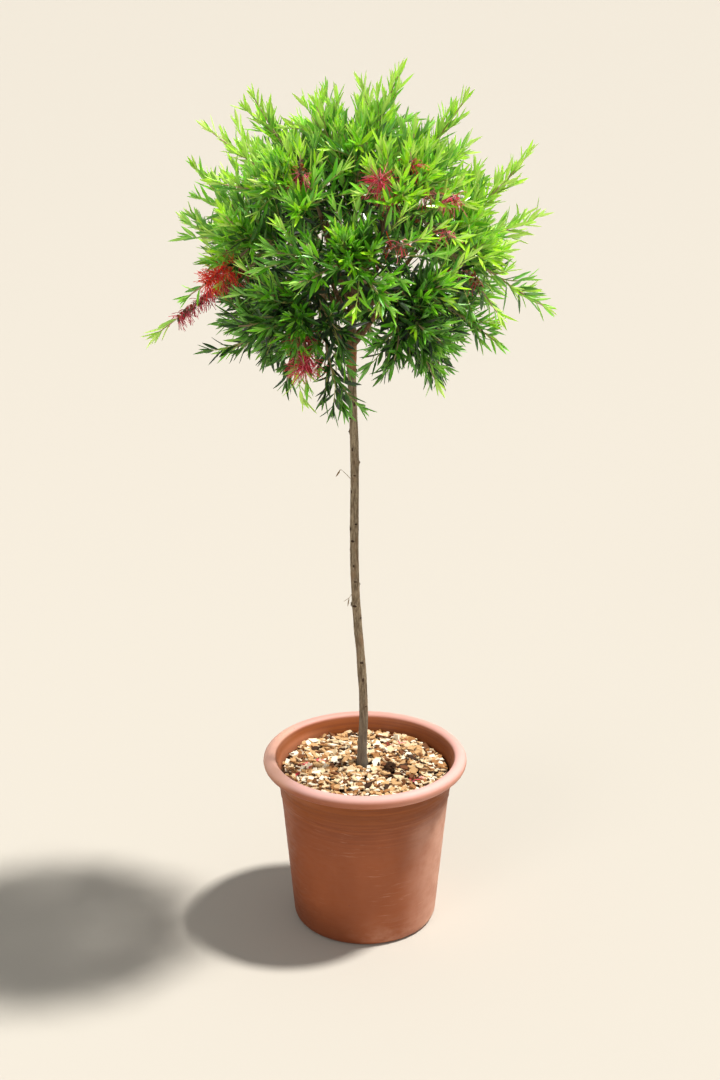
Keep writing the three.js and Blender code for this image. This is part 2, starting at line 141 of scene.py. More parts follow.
def plain_finish(name, colour, roughness, specular=0.5):
    material = bpy.data.materials.new(name)
    material.use_nodes = True
    shader = material.node_tree.nodes["Principled BSDF"]
    shader.inputs["Base Color"].default_value = (*linear(*colour), 1)
    shader.inputs["Roughness"].default_value = roughness
    shader.inputs["Specular IOR Level"].default_value = specular
    return material


def piece_from(bm, name, *finishes):
    """The finished bmesh as an object at the origin, its place in its mesh."""
    mesh = bpy.data.meshes.new(name)
    bm.to_mesh(mesh)
    bm.free()
    for finish in finishes:
        mesh.materials.append(finish)
    return put_in_scene(bpy.data.objects.new(name, mesh))


floor_shape = bmesh.new()
bmesh.ops.create_grid(floor_shape, x_segments=1, y_segments=1, size=FLOOR_SIZE)
floor = piece_from(floor_shape, "floor", plain_finish("pale_floor", (188, 183, 174), 0.9, 0.2))

# Pot: a round nursery container, injection moulded in matt terracotta-coloured plastic, with a fat
# rolled rim, a slightly proud band under it and faint turning lines. It stands on its flat foot.
POT_HEIGHT = 0.246
POT_RIM_RADIUS = 0.140
POT_ROLL_RADIUS = 0.0089
POT_ROLL_TURN = (238, 521, 9)  # degrees round the rim's section, first, last and step
POT_FLAT_RADIUS = 0.0912
POT_CORNER_RADIUS = 0.0986  # where the underside and the wall would meet without the rounding
POT_ROUNDING = 0.010
POT_FOOT_RADIUS = 0.099
POT_NECK_RADIUS = 0.1215
POT_WALL = 0.0032
POT_FLOOR = 0.004
POT_BAND_HEIGHT = 0.186
POT_BAND_START = 0.1882
POT_BAND_STEP = 0.0011
POT_ROLL_HEIGHT = POT_HEIGHT - POT_ROLL_RADIUS
POT_ROLL_CENTRE = POT_RIM_RADIUS - POT_ROLL_RADIUS
POT_NECK_HEIGHT = POT_ROLL_HEIGHT - POT_ROLL_RADIUS - 0.008
POT_STEPS = 96
POT_ROLL = {"Z": (0.217, 0.228), "out": (0.1196, 0.1238)}
POT_CREST = {"Z": (0.2375, 0.2445), "out": (0.1215, 0.126)}
POT_PATCHES = (((1, 1, 1), 12, 2), (0.52, 0.66))
POT_SIDE = {"out": (0.1245, 0.1225)}
# low on the right: dust, and painted light on the lit side
POT_DUST_AND_LIGHT = {"Z": (0.055, 0.005), "X": (-0.06, 0.03)}
# high on the right: fade, and painted light where the key light falls
POT_FADE_AND_LIGHT = {"Z": (0.2, 0.165), "X": (0.04, 0.105)}
POT_MARKS = [  # colour, how strong, where up, across and outwards, and in which noise
    ((155, 83, 46), 1.0, {}, (((1, 1, 0.7), 9, 3), (0.35, 0.68))),
    # painted light: the whole roll a little paler, where the key light falls on the rim
    ((210, 144, 120), 0.26, POT_ROLL),
    # painted light: the roll paler on the right, the side the key light comes from
    ((224, 164, 146), 0.5, {**POT_ROLL, "X": (-0.01, 0.09)}),
    # painted highlight along the top of the roll
    ((229, 181, 173), 0.55, POT_CREST),
    # painted light on the top of the roll towards the front, the back left darker as painted shade
    ((230, 186, 182), 0.42, {**POT_CREST, "Y": (0.11, -0.03)}),
    # painted highlight on the left of the roll
    ((232, 178, 150), 0.55, {"Z": (0.232, 0.239), "X": (-0.088, -0.116)}),
    # painted shade on the underside of the roll, at the left
    ((152, 86, 60), 0.6, {"Z": (0.2415, 0.2335), "out": (0.1335, 0.138), "X": (0.04, -0.07)}),
    # painted shade on the wall just under the overhanging roll
    ((140, 72, 20), 0.75, {**POT_SIDE, "Z": (0.17, 0.212)}),
    # painted shade low on the wall at the left of the foot
    ((92, 40, 12), 0.55, {"Z": (0.07, 0.0), "X": (0.03, -0.06)}),
    ((112, 54, 26), 0.4, {**POT_SIDE, "Z": (0.13, 0.19)}, (((0.02, 0.02, 1), 300, 2), (0.42, 0.62))),
    # painted light on the left, just under the roll and on the inner wall
    ((208, 140, 106), 0.45, {"Z": (0.205, 0.222), "out": (0.1215, 0.1185), "X": (-0.04, -0.1)}),
    ((214, 160, 132), 0.34, {}, (((1, 1, 12), 26, 6, 0.65), (0.56, 0.72)), POT_PATCHES),
    # dust towards the foot, kept to the right as painted light on the lit side
    ((206, 156, 130), 0.4, POT_DUST_AND_LIGHT, (((1, 1, 1.6), 26, 6, 0.62), (0.42, 0.75))),
    # a pale patch on the right of the wall: partly fade, partly painted light
    ((222, 172, 150), 0.7, POT_FADE_AND_LIGHT, (((1, 1, 0.8), 34, 5, 0.6), (0.1, 0.75, 0.35))),
    ((122, 62, 44), 0.55, {}, (((1, 1, 1), 210, 2), (0.73, 0.77))),
]


def lerp(first, second, share):
    return first + (second - first) * share


def smoothstep(value, low, high):
    share = min(max((value - low) / (high - low), 0.0), 1.0)
    return share * share * (3 - 2 * share)


def pot_wall_at(height):
    return lerp(POT_FOOT_RADIUS, POT_NECK_RADIUS - POT_BAND_STEP, height / POT_ROLL_HEIGHT)


def turning_line(height):
    """How far the wall stands in or out at a height: faint lines left by the mould's turning."""
    wave = noise.noise(Vector((0.5, 0.2, height * 420)))
    return (0.00006 + 0.00026 * smoothstep(height, 0.13, 0.19)) * wave


def pot_outline():
    """The wall's section as (radius, height), from under the foot, over the rim and down inside."""
    points = [(0.0, 0.0), (0.05, 0.0)]
    wall = pot_wall_at(POT_ROUNDING)
    for i in range(7):
        t = i / 6
        radius = lerp(lerp(POT_FLAT_RADIUS, POT_CORNER_RADIUS, t), lerp(POT_CORNER_RADIUS, wall, t), t)
        points.append((radius, POT_ROUNDING * t * t))
    for i in range(1, 88):
        height = lerp(POT_ROUNDING, POT_BAND_HEIGHT, i / 88)
        points.append((pot_wall_at(height) + turning_line(height), height))
    for share, height in ((0.0, 0.1858), (0.25, 0.1866), (0.75, 0.1872), (1.0, POT_BAND_START)):
        points.append((pot_wall_at(height) + POT_BAND_STEP * share, height))
    for i in range(1, 34):
        height = lerp(POT_BAND_START, POT_NECK_HEIGHT, i / 33)
        points.append((pot_wall_at(height) + POT_BAND_STEP + turning_line(height), height))
    for degrees in range(*POT_ROLL_TURN):
        a = math.radians(degrees)
        radius = POT_ROLL_CENTRE + POT_ROLL_RADIUS * math.cos(a)
        points.append((radius, POT_ROLL_HEIGHT + POT_ROLL_RADIUS * math.sin(a)))
    inner = pot_wall_at(POT_NECK_HEIGHT) - POT_WALL
    points += [(inner + 0.0038, POT_NECK_HEIGHT + 0.0105), (inner + 0.0014, POT_NECK_HEIGHT + 0.0035)]
    points += [(inner + 0.0003, POT_NECK_HEIGHT - 0.002), (pot_wall_at(0.1) - POT_WALL, 0.1)]
    points += [(pot_wall_at(POT_FLOOR) - POT_WALL, POT_FLOOR), (0.0, POT_FLOOR)]
    return points


def turned(outline, steps):
    """A closed outline of (radius, height), turned once round the upright axis."""
    bm = bmesh.new()
    corners = [bm.verts.new((radius, 0, height)) for radius, height in outline]
    edges = [bm.edges.new(pair) for pair in zip(corners, corners[1:])]
    bmesh.ops.spin(
        bm, geom=corners + edges, axis=(0, 0, 1), cent=(0, 0, 0),
        angle=2 * math.pi, steps=steps, use_merge=True,
    )
    bmesh.ops.remove_doubles(bm, verts=bm.verts, dist=1e-6)
    bmesh.ops.recalc_face_normals(bm, faces=bm.faces)
    return bm


def fitted(piece, sharpest, slot, *nodes):
    """The piece smoothed up to an angle. It rides with the plant and stands for the given CAD nodes."""
    for face in piece.data.polygons:
        face.use_smooth = True
    piece.data.set_sharp_from_angle(angle=math.radians(sharpest))
    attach(piece, "root")
    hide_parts(*nodes)


class Paint:
    """A finish in the making: colours are laid over its ground one after another."""

    def __init__(self, name, colour, roughness, specular, ground=None):
        self.material = plain_finish(name, colour, roughness, specular)
        self.tree = self.material.node_tree
        self.shader = self.tree.nodes["Principled BSDF"]
        self.place = node(self.tree, "TexCoord").outputs["Object"]
        self.colour = (*linear(*(ground or colour)), 1)
        self.ways = {}

    def along(self, way):
        """The piece's own X, Y or Z, or the distance out from its upright axis."""
        if way not in self.ways and way == "out":
            flat = node(self.tree, "VectorMath", {0: self.place, 1: (1, 1, 0)}, operation="MULTIPLY")
            out = node(self.tree, "VectorMath", {0: flat.outputs["Vector"]}, operation="LENGTH")
            self.ways["out"] = out.outputs["Value"]
        elif way not in self.ways:
            self.ways[way] = node(self.tree, "SeparateXYZ", {"Vector": self.place}).outputs[way]
        return self.ways[way]

    def noise(self, stretch, fineness, detail=4.0, roughness=0.55):
        """Noise on the piece's own coordinates, stretched by a scale for each axis."""
        place = node(self.tree, "Mapping", {"Vector": self.place, "Scale": stretch}).outputs["Vector"]
        inputs = {"Vector": place, "Scale": fineness, "Detail": detail, "Roughness": roughness}
        return node(self.tree, "TexNoise", inputs).outputs["Fac"]

    def share(self, value, *run):
        return share_between(self.tree, value, *run)

    def lay(self, colour, *shares):
        """A screen colour over what is there, as strong as the product of the shares."""
        share = shares[0]
        for other in shares[1:]:
            share = node(self.tree, "Math", {0: share, 1: other}, operation="MULTIPLY").outputs[0]
        self.colour = mixed(self.tree, share, self.colour, (*linear(*colour), 1))

    def finished(self, relief, strength, depth):
        """The material, with its colour and its relief wired to the shader."""
        bump = node(self.tree, "Bump", {"Height": relief, "Strength": strength, "Distance": depth})
        self.tree.links.new(bump.outputs["Normal"], self.shader.inputs["Normal"])
        self.tree.links.new(self.colour, self.shader.inputs["Base Color"])
        return self.material


def pot_plastic():
    """Matt plastic, uneven brown, with scuffs and specks, painted light and painted shade on the rim,
    painted shade under the roll and at the left foot, and dust and fade mixed with painted light on the
    right.
    """
    paint = Paint("pot_plastic", (160, 87, 50), 0.55, 0.35, ground=(142, 74, 39))
    for colour, strength, where, *noises in POT_MARKS:
        shares = [paint.share(paint.along(way), *run) for way, run in where.items()]
        shares += [paint.share(paint.noise(*kind), *run) for kind, run in noises]
        paint.lay(colour, *shares, strength)
    rough = paint.share(paint.noise((1, 1, 3), 60, 5), 0.3, 0.75, 0.47, 0.67)
    paint.tree.links.new(rough, paint.shader.inputs["Roughness"])
    grain, lines = paint.noise((1, 1, 1), 900, 3), paint.noise((0.02, 0.02, 1), 420, 3)
    relief = node(paint.tree, "Math", {0: grain, 1: lines}, operation="ADD").outputs[0]
    return paint.finished(relief, 0.35, 0.00025)


pot = piece_from(turned(pot_outline(), POT_STEPS), "terracotta_pot", pot_plastic())
fitted(pot, 40, "pot_plastic", "pot")

# Potting mix: damp dark compost that fills the pot to below its rim, almost hidden by its mulch.
# It is poured in round the roots, so its top is lumpy and a little lower at the wall.
FILL_CENTRE = 0.228
FILL_DISH = 0.006
FILL_LEVEL = 0.022  # the radius within which the top is level
MIX_UNDER_CHIPS = 0.0022  # how far the compost lies below the chips' tops
MIX_RADIUS = pot_wall_at(POT_NECK_HEIGHT) - POT_WALL - 0.0004


def fill_top(radius):
    """Height of the chips' tops at a distance from the middle."""
    outwards = max(radius - FILL_LEVEL, 0.0) / (MIX_RADIUS - FILL_LEVEL)
    return lerp(FILL_CENTRE, FILL_CENTRE - FILL_DISH, outwards)


def mix_outline():
    low = POT_FLOOR + 0.0003
    points = [(0.0, low), (pot_wall_at(POT_FLOOR) - POT_WALL - 0.0004, low)]
    points += [(MIX_RADIUS - 0.0002, POT_NECK_HEIGHT - 0.004)]
    for i in range(26):
        radius = lerp(MIX_RADIUS, 0.0, i / 25)
        points.append((radius, fill_top(radius) - MIX_UNDER_CHIPS))
    return points


mix_shape = turned(mix_outline(), 72)
for corner in mix_shape.verts:
    if corner.co.z > POT_NECK_HEIGHT - 0.002 and corner.co.xy.length < MIX_RADIUS - 0.002:
        corner.co.z += 0.0016 * noise.noise(corner.co * 160) + 0.001 * noise.noise(corner.co * 420)


def compost(name, dark, light):
    """Damp crumbs, lighter where they have begun to dry."""
    paint = Paint(name, dark, 0.95, 0.2)
    crumbs = paint.share(paint.noise((1, 1, 1), 260, 6, 0.7), 0.35, 0.7)
    paint.lay(light, crumbs)
    return paint.finished(crumbs, 0.9, 0.001)


potting_mix = piece_from(mix_shape, "potting_mix", compost("compost", (52, 34, 24), (118, 84, 56)))
fitted(potting_mix, 60, "bark_chips", "pot_filling")

# Mulch: chips of split pine bark and sapwood, from cream to dark brown, thrown on the compost by the
# handful, so that they lie flat or lean on each other, with a patch of damp ones beside the trunk.
CHIP_COUNT = 1900
CHIP_SHADES = [  # colour, and its share of the chips
    ((242, 230, 206), 0.18),
    ((220, 195, 156), 0.26),
    ((198, 158, 110), 0.22),
    ((158, 110, 64), 0.16),
    ((108, 64, 32), 0.11),
    ((58, 34, 15), 0.07),
]
CHIP_SHORTEST, CHIP_SPREAD = 0.0068, 0.0132
CHIP_NARROWNESS = (0.42, 0.85)
CHIP_THICKNESS = (0.0009, 0.0024)
CHIP_TILT = 21  # degrees
CHIP_LIFT = (-0.0016, 0.0044)
CHIP_SUNK = 0.0006
CHIP_CLEAR = 0.0078  # how far the middle of a chip keeps from the trunk's own, before its length
DAMP_PATCH = Vector((0.0357, -0.0141))
DAMP_RADIUS = 0.0095
DAMP_RISE = 0.0028
TRUNK_FOOT_X = -0.004


def plain_finishes(name, colours, roughness):
    return [plain_finish(f"{name}_{i + 1}", colour, roughness, 0.3) for i, colour in enumerate(colours)]


def template_of(bm):
    """The bmesh as arrays: its corners, and its triangles."""
    bmesh.ops.recalc_face_normals(bm, faces=bm.faces)
    bmesh.ops.triangulate(bm, faces=bm.faces)
    bm.verts.index_update()
    points = np.array([v.co[:] for v in bm.verts])
    triangles = np.array([[v.index for v in f.verts] for f in bm.faces])
    bm.free()
    return points, triangles


def as_part(points, triangles, finish):
    """Shapes of equal make as one part. finish is one number for each shape, or for each triangle."""
    offsets = np.arange(len(points)) * points.shape[1]
    numbers = np.asarray(finish)
    if numbers.ndim == 1:
        numbers = np.repeat(numbers[:, None], len(triangles), 1)
    triangles = triangles[None] + offsets[:, None, None]
    return points.reshape(-1, 3), triangles.reshape(-1, 3), numbers.reshape(-1)


def copies_of(template, places, axes, finish):
    """Copies of a template, each moved to its place and turned and scaled by its 3 x 3 axes."""
    points, triangles = template
    return as_part(np.einsum("vj,nji->nvi", points, axes) + places[:, None, :], triangles, finish)


def piece_of_many(name, parts, finishes, slot, nodes, sharpest=30):
    """One piece of many small closed shapes, which stands for the given CAD nodes."""
    points, triangles, numbers = zip(*parts)
    starts = np.cumsum([0] + [len(part) for part in points])
    triangles = np.concatenate([part + start for part, start in zip(triangles, starts)])
    mesh = bpy.data.meshes.new(name)
    mesh.from_pydata(np.concatenate(points).tolist(), [], triangles.tolist())
    for finish in finishes:
        mesh.materials.append(finish)
    mesh.polygons.foreach_set("material_index", np.concatenate(numbers).astype(np.int32))
    piece = put_in_scene(bpy.data.objects.new(name, mesh))
    fitted(piece, sharpest, slot, *nodes)


def unit(rows):
    """Rows of numbers as directions."""
    return rows / np.linalg.norm(rows, axis=-1, keepdims=True)


def chip_template(sides, rng):
    bm = bmesh.new()
    bmesh.ops.create_circle(bm, cap_ends=True, radius=0.5, segments=sides)
    for corner in bm.verts:
        corner.co.xy *= rng.uniform(0.7, 1.2)
        corner.co.z = -0.5
    raised = bmesh.ops.extrude_face_region(bm, geom=bm.faces[:])["geom"]
    for corner in [v for v in raised if isinstance(v, bmesh.types.BMVert)]:
        corner.co.z += rng.uniform(0.6, 1.3)
        corner.co.xy *= rng.uniform(0.86, 1.0)
    return template_of(bm)


def turned_axes(rng, count, tilt):
    """Rotations by any yaw, with a tilt of about the given degrees."""
    yaw = rng.uniform(0, 2 * math.pi, count)
    lean = rng.normal(0, math.radians(tilt), count)
    heading = rng.uniform(0, 2 * math.pi, count)
    up = np.stack([np.sin(lean) * np.cos(heading), np.sin(lean) * np.sin(heading), np.cos(lean)], 1)
    first = np.stack([np.cos(yaw), np.sin(yaw), np.zeros(count)], 1)
    first = unit(first - up * np.sum(first * up, 1)[:, None])
    return np.stack([first, np.cross(up, first), up], 1)


def scatter_chips():
    rng = np.random.default_rng(41)
    shares = np.array([share for _, share in CHIP_SHADES])
    parts = []
    for sides in (4, 5, 5, 6, 4, 5):
        template = chip_template(sides, rng)
        count = CHIP_COUNT // 6
        radius = (MIX_RADIUS - 0.004) * np.sqrt(rng.uniform(0, 1, count))
        around = rng.uniform(0, 2 * math.pi, count)
        places = np.stack([radius * np.cos(around), radius * np.sin(around), np.zeros(count)], 1)
        length = CHIP_SHORTEST + CHIP_SPREAD * rng.uniform(0, 1, count) ** 1.7
        width = length * rng.uniform(*CHIP_NARROWNESS, count)
        sizes = np.stack([length, width, rng.uniform(*CHIP_THICKNESS, count)], 1)
        axes = turned_axes(rng, count, CHIP_TILT)
        finish = rng.choice(len(shares), count, p=shares)
        lift = rng.uniform(*CHIP_LIFT, count)
        damp = np.hypot(places[:, 0] - DAMP_PATCH.x, places[:, 1] - DAMP_PATCH.y) < DAMP_RADIUS
        finish = np.where(damp, 4 + (finish > 2), finish)
        lift = np.where(damp, lift + DAMP_RISE, lift)
        places[:, 2] = np.array([fill_top(r) for r in radius]) - CHIP_SUNK + lift
        clear = np.hypot(places[:, 0] - TRUNK_FOOT_X, places[:, 1]) > CHIP_CLEAR + 0.35 * length
        keep = clear & (radius + 0.45 * length < MIX_RADIUS)
        parts.append(copies_of(template, places[keep], (axes * sizes[:, :, None])[keep], finish[keep]))
    return parts


chip_finishes = plain_finishes("chip", [colour for colour, _ in CHIP_SHADES], 0.8)
piece_of_many("bark_mulch", scatter_chips(), chip_finishes, "bark_chips", ["pot_filling"])

# Clump in the mulch: a crumbly lump of wet compost, a finger's breadth across, that has been scraped
# up with the chips and lies loose on the damp patch.
CLUMP_RADIUS = 0.0078
CLUMP_FLATNESS = 0.75
CLUMP_RISE = 0.0035

clump_shape = bmesh.new()
bmesh.ops.create_icosphere(clump_shape, subdivisions=4, radius=CLUMP_RADIUS)
for corner in clump_shape.verts:
    crumbly = 1 + 0.45 * noise.noise(corner.co * 190) + 0.3 * noise.noise(corner.co * 520)
    corner.co *= crumbly
    corner.co.z = corner.co.z * CLUMP_FLATNESS + fill_top(DAMP_PATCH.length) + CLUMP_RISE
    corner.co.xy += DAMP_PATCH
soil_clump = piece_from(clump_shape, "soil_clump", compost("damp_compost", (36, 23, 15), (84, 56, 34)))
fitted(soil_clump, 60, "bark_chips", "pot_filling")

# Trunk: one slim bare stem, its bark greyish tan, shallowly furrowed and dotted with the knots of
# pruned side shoots, flaky and swollen at the head where the boughs leave it.
TRUNK_LEAN = -0.012
TRUNK_SWAY = 0.0022
TRUNK_FOOT = FILL_CENTRE + 0.0003
TRUNK_TIP = 0.905
TRUNK_RADIUS = 0.0057
TRUNK_FLARE, TRUNK_FLARE_HEIGHT = 0.0022, 0.018
TRUNK_HEAD_RADIUS = 0.0072
TRUNK_HEAD, TRUNK_HEAD_LENGTH = 0.815, 0.032
TRUNK_TIP_RADIUS = 0.0044
TRUNK_SIDES = 36
TRUNK_RINGS = 300
TRUNK_SUNK = 0.004  # the visible stem goes on into the chips
FURROW_DEPTHS = (0.00045, 0.0012)  # on the stem, and on the flaky bark of the head
FLAKY_FROM = (0.76, 0.805)
KNOTS = [  # height, degrees round the trunk, size
    (0.262, 200, 1.0), (0.301, 40, 0.8), (0.318, 300, 0.7), (0.3573, 278, 1.1), (0.361, 120, 0.9),
    (0.3824, 276, 1.1), (0.422, 88, 1.0), (0.446, 318, 0.8), (0.4635, 252, 1.3), (0.4642, 185, 1.1),
    (0.4981, 275, 0.9), (0.492, 30, 1.0), (0.5205, 261, 0.8), (0.541, 140, 0.9), (0.5555, 250, 1.2),
    (0.5719, 214, 0.9), (0.5792, 289, 0.9), (0.598, 76, 1.1), (0.6236, 228, 0.9), (0.6459, 268, 0.8),
    (0.662, 12, 1.0), (0.681, 245, 0.9), (0.703, 160, 1.0), (0.722, 226, 0.9), (0.741, 290, 1.1),
    (0.749, 60, 0.9), (0.768, 215, 1.0), (0.784, 330, 1.1), (0.79, 120, 0.9),
]
KNOT_RISE = 0.0011
KNOT_WIDTH = 0.0032


def up_trunk(height):
    return (height - TRUNK_FOOT) / (TRUNK_TIP - TRUNK_FOOT)


def trunk_at(height):
    u, head = up_trunk(height), up_trunk(TRUNK_HEAD)
    lean = TRUNK_LEAN * smoothstep(u, 0.1 * head, 0.72 * head)
    sway = TRUNK_SWAY * math.sin(u * math.pi * 4) * smoothstep(u, 0, 0.1)
    return Vector((TRUNK_FOOT_X + lean + sway, -0.6 * sway, height))


def trunk_radius(height):
    flare = TRUNK_FLARE * math.exp(-max(height - TRUNK_FOOT, 0) / TRUNK_FLARE_HEIGHT)
    off_head = (height - TRUNK_HEAD) / TRUNK_HEAD_LENGTH
    swelling = (TRUNK_HEAD_RADIUS - TRUNK_RADIUS) * math.exp(-(off_head**2))
    narrowing = (TRUNK_TIP_RADIUS - TRUNK_RADIUS) * smoothstep(height, TRUNK_HEAD + 0.02, TRUNK_TIP)
    return TRUNK_RADIUS + flare + lerp(0.00035, -0.00035, up_trunk(height)) + swelling + narrowing


def bark_relief(angle, height, furrow, lumps):
    """How far bark stands out: long shallow furrows, and lumps that come and go along the limb."""
    x, y = math.cos(angle), math.sin(angle)
    long_ridges = noise.noise(Vector((x * 3.1, y * 3.1, height * 26)))
    flakes = noise.noise(Vector((x * 6.0, y * 6.0, height * 120)))
    slow = noise.noise(Vector((x * 0.9, y * 0.9, height * 34)))
    return furrow * (0.65 * long_ridges + 0.5 * flakes) + lumps * slow


def rod(sides, rings):
    """An upright closed rod from 0 to 1 with its rings, ready to be laid along a limb."""
    bm = bmesh.new()
    bmesh.ops.create_cone(bm, cap_ends=True, segments=sides, radius1=1, radius2=1, depth=1)
    bmesh.ops.translate(bm, verts=bm.verts, vec=(0, 0, 0.5))
    uprights = [e for e in bm.edges if abs(e.verts[0].co.z - e.verts[1].co.z) > 0.5]
    bmesh.ops.subdivide_edges(bm, edges=uprights, cuts=rings - 1)
    return bm


def bark_surface(height, angle):
    """The trunk's visible surface at a height, on the side that an angle gives."""
    furrow = lerp(*FURROW_DEPTHS, smoothstep(height, *FLAKY_FROM))
    radius = 0.985 * trunk_radius(height) + bark_relief(angle, height, furrow, 0.0005)
    for knot_height, degrees, size in KNOTS:
        aside = radius * math.remainder(angle - math.radians(degrees), 2 * math.pi)
        away = math.hypot(height - knot_height, aside)
        radius += KNOT_RISE * size * math.exp(-((away / (KNOT_WIDTH * size)) ** 2))
    return trunk_at(height) + Vector((math.cos(angle), math.sin(angle), 0)) * radius


trunk_shape = rod(TRUNK_SIDES, TRUNK_RINGS)
for corner in trunk_shape.verts:
    height = lerp(TRUNK_FOOT - TRUNK_SUNK, TRUNK_TIP - 0.0005, corner.co.z)
    corner.co = bark_surface(height, math.atan2(corner.co.y, corner.co.x))


def bark(name, light, dark, warm, foot_grey=None, head_orange=None):
    """Weathered bark: streaks along the limb, dark flecks in the furrows, warmer worn places."""
    paint = Paint(name, light, 0.85, 0.25, ground=dark)
    streaks = paint.noise((1, 1, 0.16), 420, 7, 0.68)
    paint.lay(light, paint.share(streaks, 0.36, 0.66))
    paint.lay(warm, paint.share(paint.noise((1, 1, 0.4), 95, 4), 0.5, 0.72), 0.75)
    flecks = paint.share(paint.noise((1, 1, 0.55), 620, 4, 0.6), 0.6, 0.72)
    paint.lay([0.42 * c for c in dark], flecks, 0.75)
    height = paint.along("Z")
    if foot_grey:
        paint.lay(foot_grey, paint.share(height, 0.36, 0.235), 0.75)
    if head_orange:
        paint.lay(head_orange, paint.share(height, 0.775, 0.795), paint.share(height, 0.835, 0.815), 0.7)
    return paint.finished(streaks, 0.8, 0.0008)


stem_colours = (158, 142, 117), (94, 78, 60), (132, 107, 82)
trunk_bark = bark("trunk_bark", *stem_colours, foot_grey=(112, 105, 96), head_orange=(160, 104, 60))
trunk = piece_from(trunk_shape, "bark_trunk", trunk_bark)
fitted(trunk, 50, "trunk_bark", "trunk")

# Knot scars: the dark, healed-over stubs of the side shoots that were cut from the young trunk. Each
# is a shallow oval of dead wood sunk in its own swelling of the bark.
SCAR_ACROSS = (0.0023, 0.0013)  # half width and half height
SCAR_UPRIGHT = (0.0013, 0.0028)
SCAR_DEPTH = 0.0004

scar_shape = bmesh.new()
bmesh.ops.create_uvsphere(scar_shape, u_segments=10, v_segments=6, radius=1)
scar_places, scar_axes = [], []
for i, (height, degrees, size) in enumerate(KNOTS):
    angle = math.radians(degrees)
    out = np.array([math.cos(angle), math.sin(angle), 0.0])
    aside = np.array([-math.sin(angle), math.cos(angle), 0.0])
    wide, tall = SCAR_ACROSS if i % 3 else SCAR_UPRIGHT
    scar_places.append(bark_surface(height, angle)[:])
    scar_axes.append([aside * wide * size, np.array([0.0, 0.0, tall * size]), out * SCAR_DEPTH])
scar = template_of(scar_shape)
scars = copies_of(scar, np.array(scar_places), np.array(scar_axes), np.zeros(len(KNOTS)))
knot_bark = bark("knot_bark", (76, 56, 42), (38, 27, 20), (66, 44, 32))
piece_of_many("knot_scars", [scars], [knot_bark], "trunk_bark", ["trunk"], 50)

# Boughs: fourteen short limbs that leave the swollen head in three tiers, left by hard pruning, and
# carry one leafy mass each. Their bark is browner and smoother than the trunk's.
CROWN_CENTRE = Vector((-0.014, 0, 0.932))
BOUGH_REACH = 0.078
BOUGH_RADIUS = 0.0037
BOUGH_TIP_RADIUS = 0.0025
TIERS = [  # name, boughs, degrees up, first bough's azimuth, lowest root, how far apart the roots are
    ("skirt", 5, -33, 234, 0.802, 0.006),
    ("waist", 5, 4, 270, 0.834, 0.0065),
    ("shoulder", 4, 43, 225, 0.868, 0.007),
]
ROOT_ORDER = [0, 2, 4, 1, 3]
UP = Vector((0, 0, 1))


class Curve:
    """A limb's line: from one end to the other, drawn towards a third point."""

    def __init__(self, start, towards, end):
        self.start, self.towards, self.end = Vector(start), Vector(towards), Vector(end)
        self.length = (self.end - self.start).length

    def at(self, t):
        return self.start * ((1 - t) ** 2) + self.towards * (2 * t * (1 - t)) + self.end * (t * t)

    def heading(self, t):
        return ((self.towards - self.start) * (1 - t) + (self.end - self.towards) * t).normalized()


def direction(azimuth, elevation):
    a, e = math.radians(azimuth), math.radians(elevation)
    return Vector((math.cos(a) * math.cos(e), math.sin(a) * math.cos(e), math.sin(e)))


def across(heading):
    """Two directions square to a heading and to each other."""
    side = heading.cross(UP if abs(heading.z) < 0.9 else Vector((1, 0, 0))).normalized()
    return side, heading.cross(side)


masses = []
for tier, count, elevation, first, root_height, rise in TIERS:
    for i in range(count):
        towards = direction(first + 360 / count * i, elevation)
        root = trunk_at(root_height + rise * ROOT_ORDER[i])
        tip = CROWN_CENTRE + towards * BOUGH_REACH
        bend = root.lerp(tip, 0.5)
        bend.z = lerp(root.z, tip.z, 0.35)
        masses.append({
            "name": f"{tier}_{i + 1}",
            "towards": towards,
            "bough": Curve(root, bend, tip),
            "leaves": (tip - bend).normalized(),
            "stem_foot": tip,
        })
masses.append({
    "name": "top",
    "towards": direction(300, 86),
    "bough": None,
    "leaves": UP,
    "stem_foot": trunk_at(TRUNK_TIP),
})

bough_bark = bark("bough_bark", (142, 112, 84), (86, 64, 46), (150, 104, 66))
for mass in masses:
    if not mass["bough"]:
        continue
    shape = rod(14, 26)
    for corner in shape.verts:
        t = corner.co.z
        angle = math.atan2(corner.co.y, corner.co.x)
        side, other = across(mass["bough"].heading(t))
        relief = bark_relief(angle, t * 0.1 + mass["towards"].x, 0.0004, 0.0004)
        radius = lerp(BOUGH_RADIUS, BOUGH_TIP_RADIUS, t) + relief
        place = mass["bough"].at(t)
        corner.co = place + side * (math.cos(angle) * radius) + other * (math.sin(angle) * radius)
    bmesh.ops.recalc_face_normals(shape, faces=shape.faces)
    limb = piece_from(shape, f"bark_bough_{mass['name']}", bough_bark)
    fitted(limb, 50, "bough_bark", f"bough_{mass['name']}")

# Stems, shoots and twigs: each bough goes on as a stem to most of the crown's reach, the stem throws
# out shoots that turn up to the light, and each shoot throws out twigs, all by one rule.
CROWN_WIDE = 0.214
CROWN_DEEP = 0.208
CROWN_UP = 0.210
CROWN_DOWN = 0.194
CROWN_LOWEST_RISE = math.sin(math.radians(-56))
STEM_REACH = 0.78
TIP_ROSETTE_OUT = 0.018  # a shoot stops this far inside its reach, for its last leaves
ORDINARY_SHOOTS = 90
ORDINARY_SHARE = 0.95  # how much of their reach in the source the ordinary shoots take up
TWIG_SHORTEST = 0.014
TWIG_SAG = 0.08
SHOOT_SAG = 0.1
TWIG_OUTWARD, TWIG_UPWARD = 0.35, 0.12  # how far a twig turns to the outside and to the light
LEAF_ROOM = 0.022  # a twig stops this far inside the reach, for its leaves
GOLDEN_ANGLE = math.pi * (3 - math.sqrt(5))
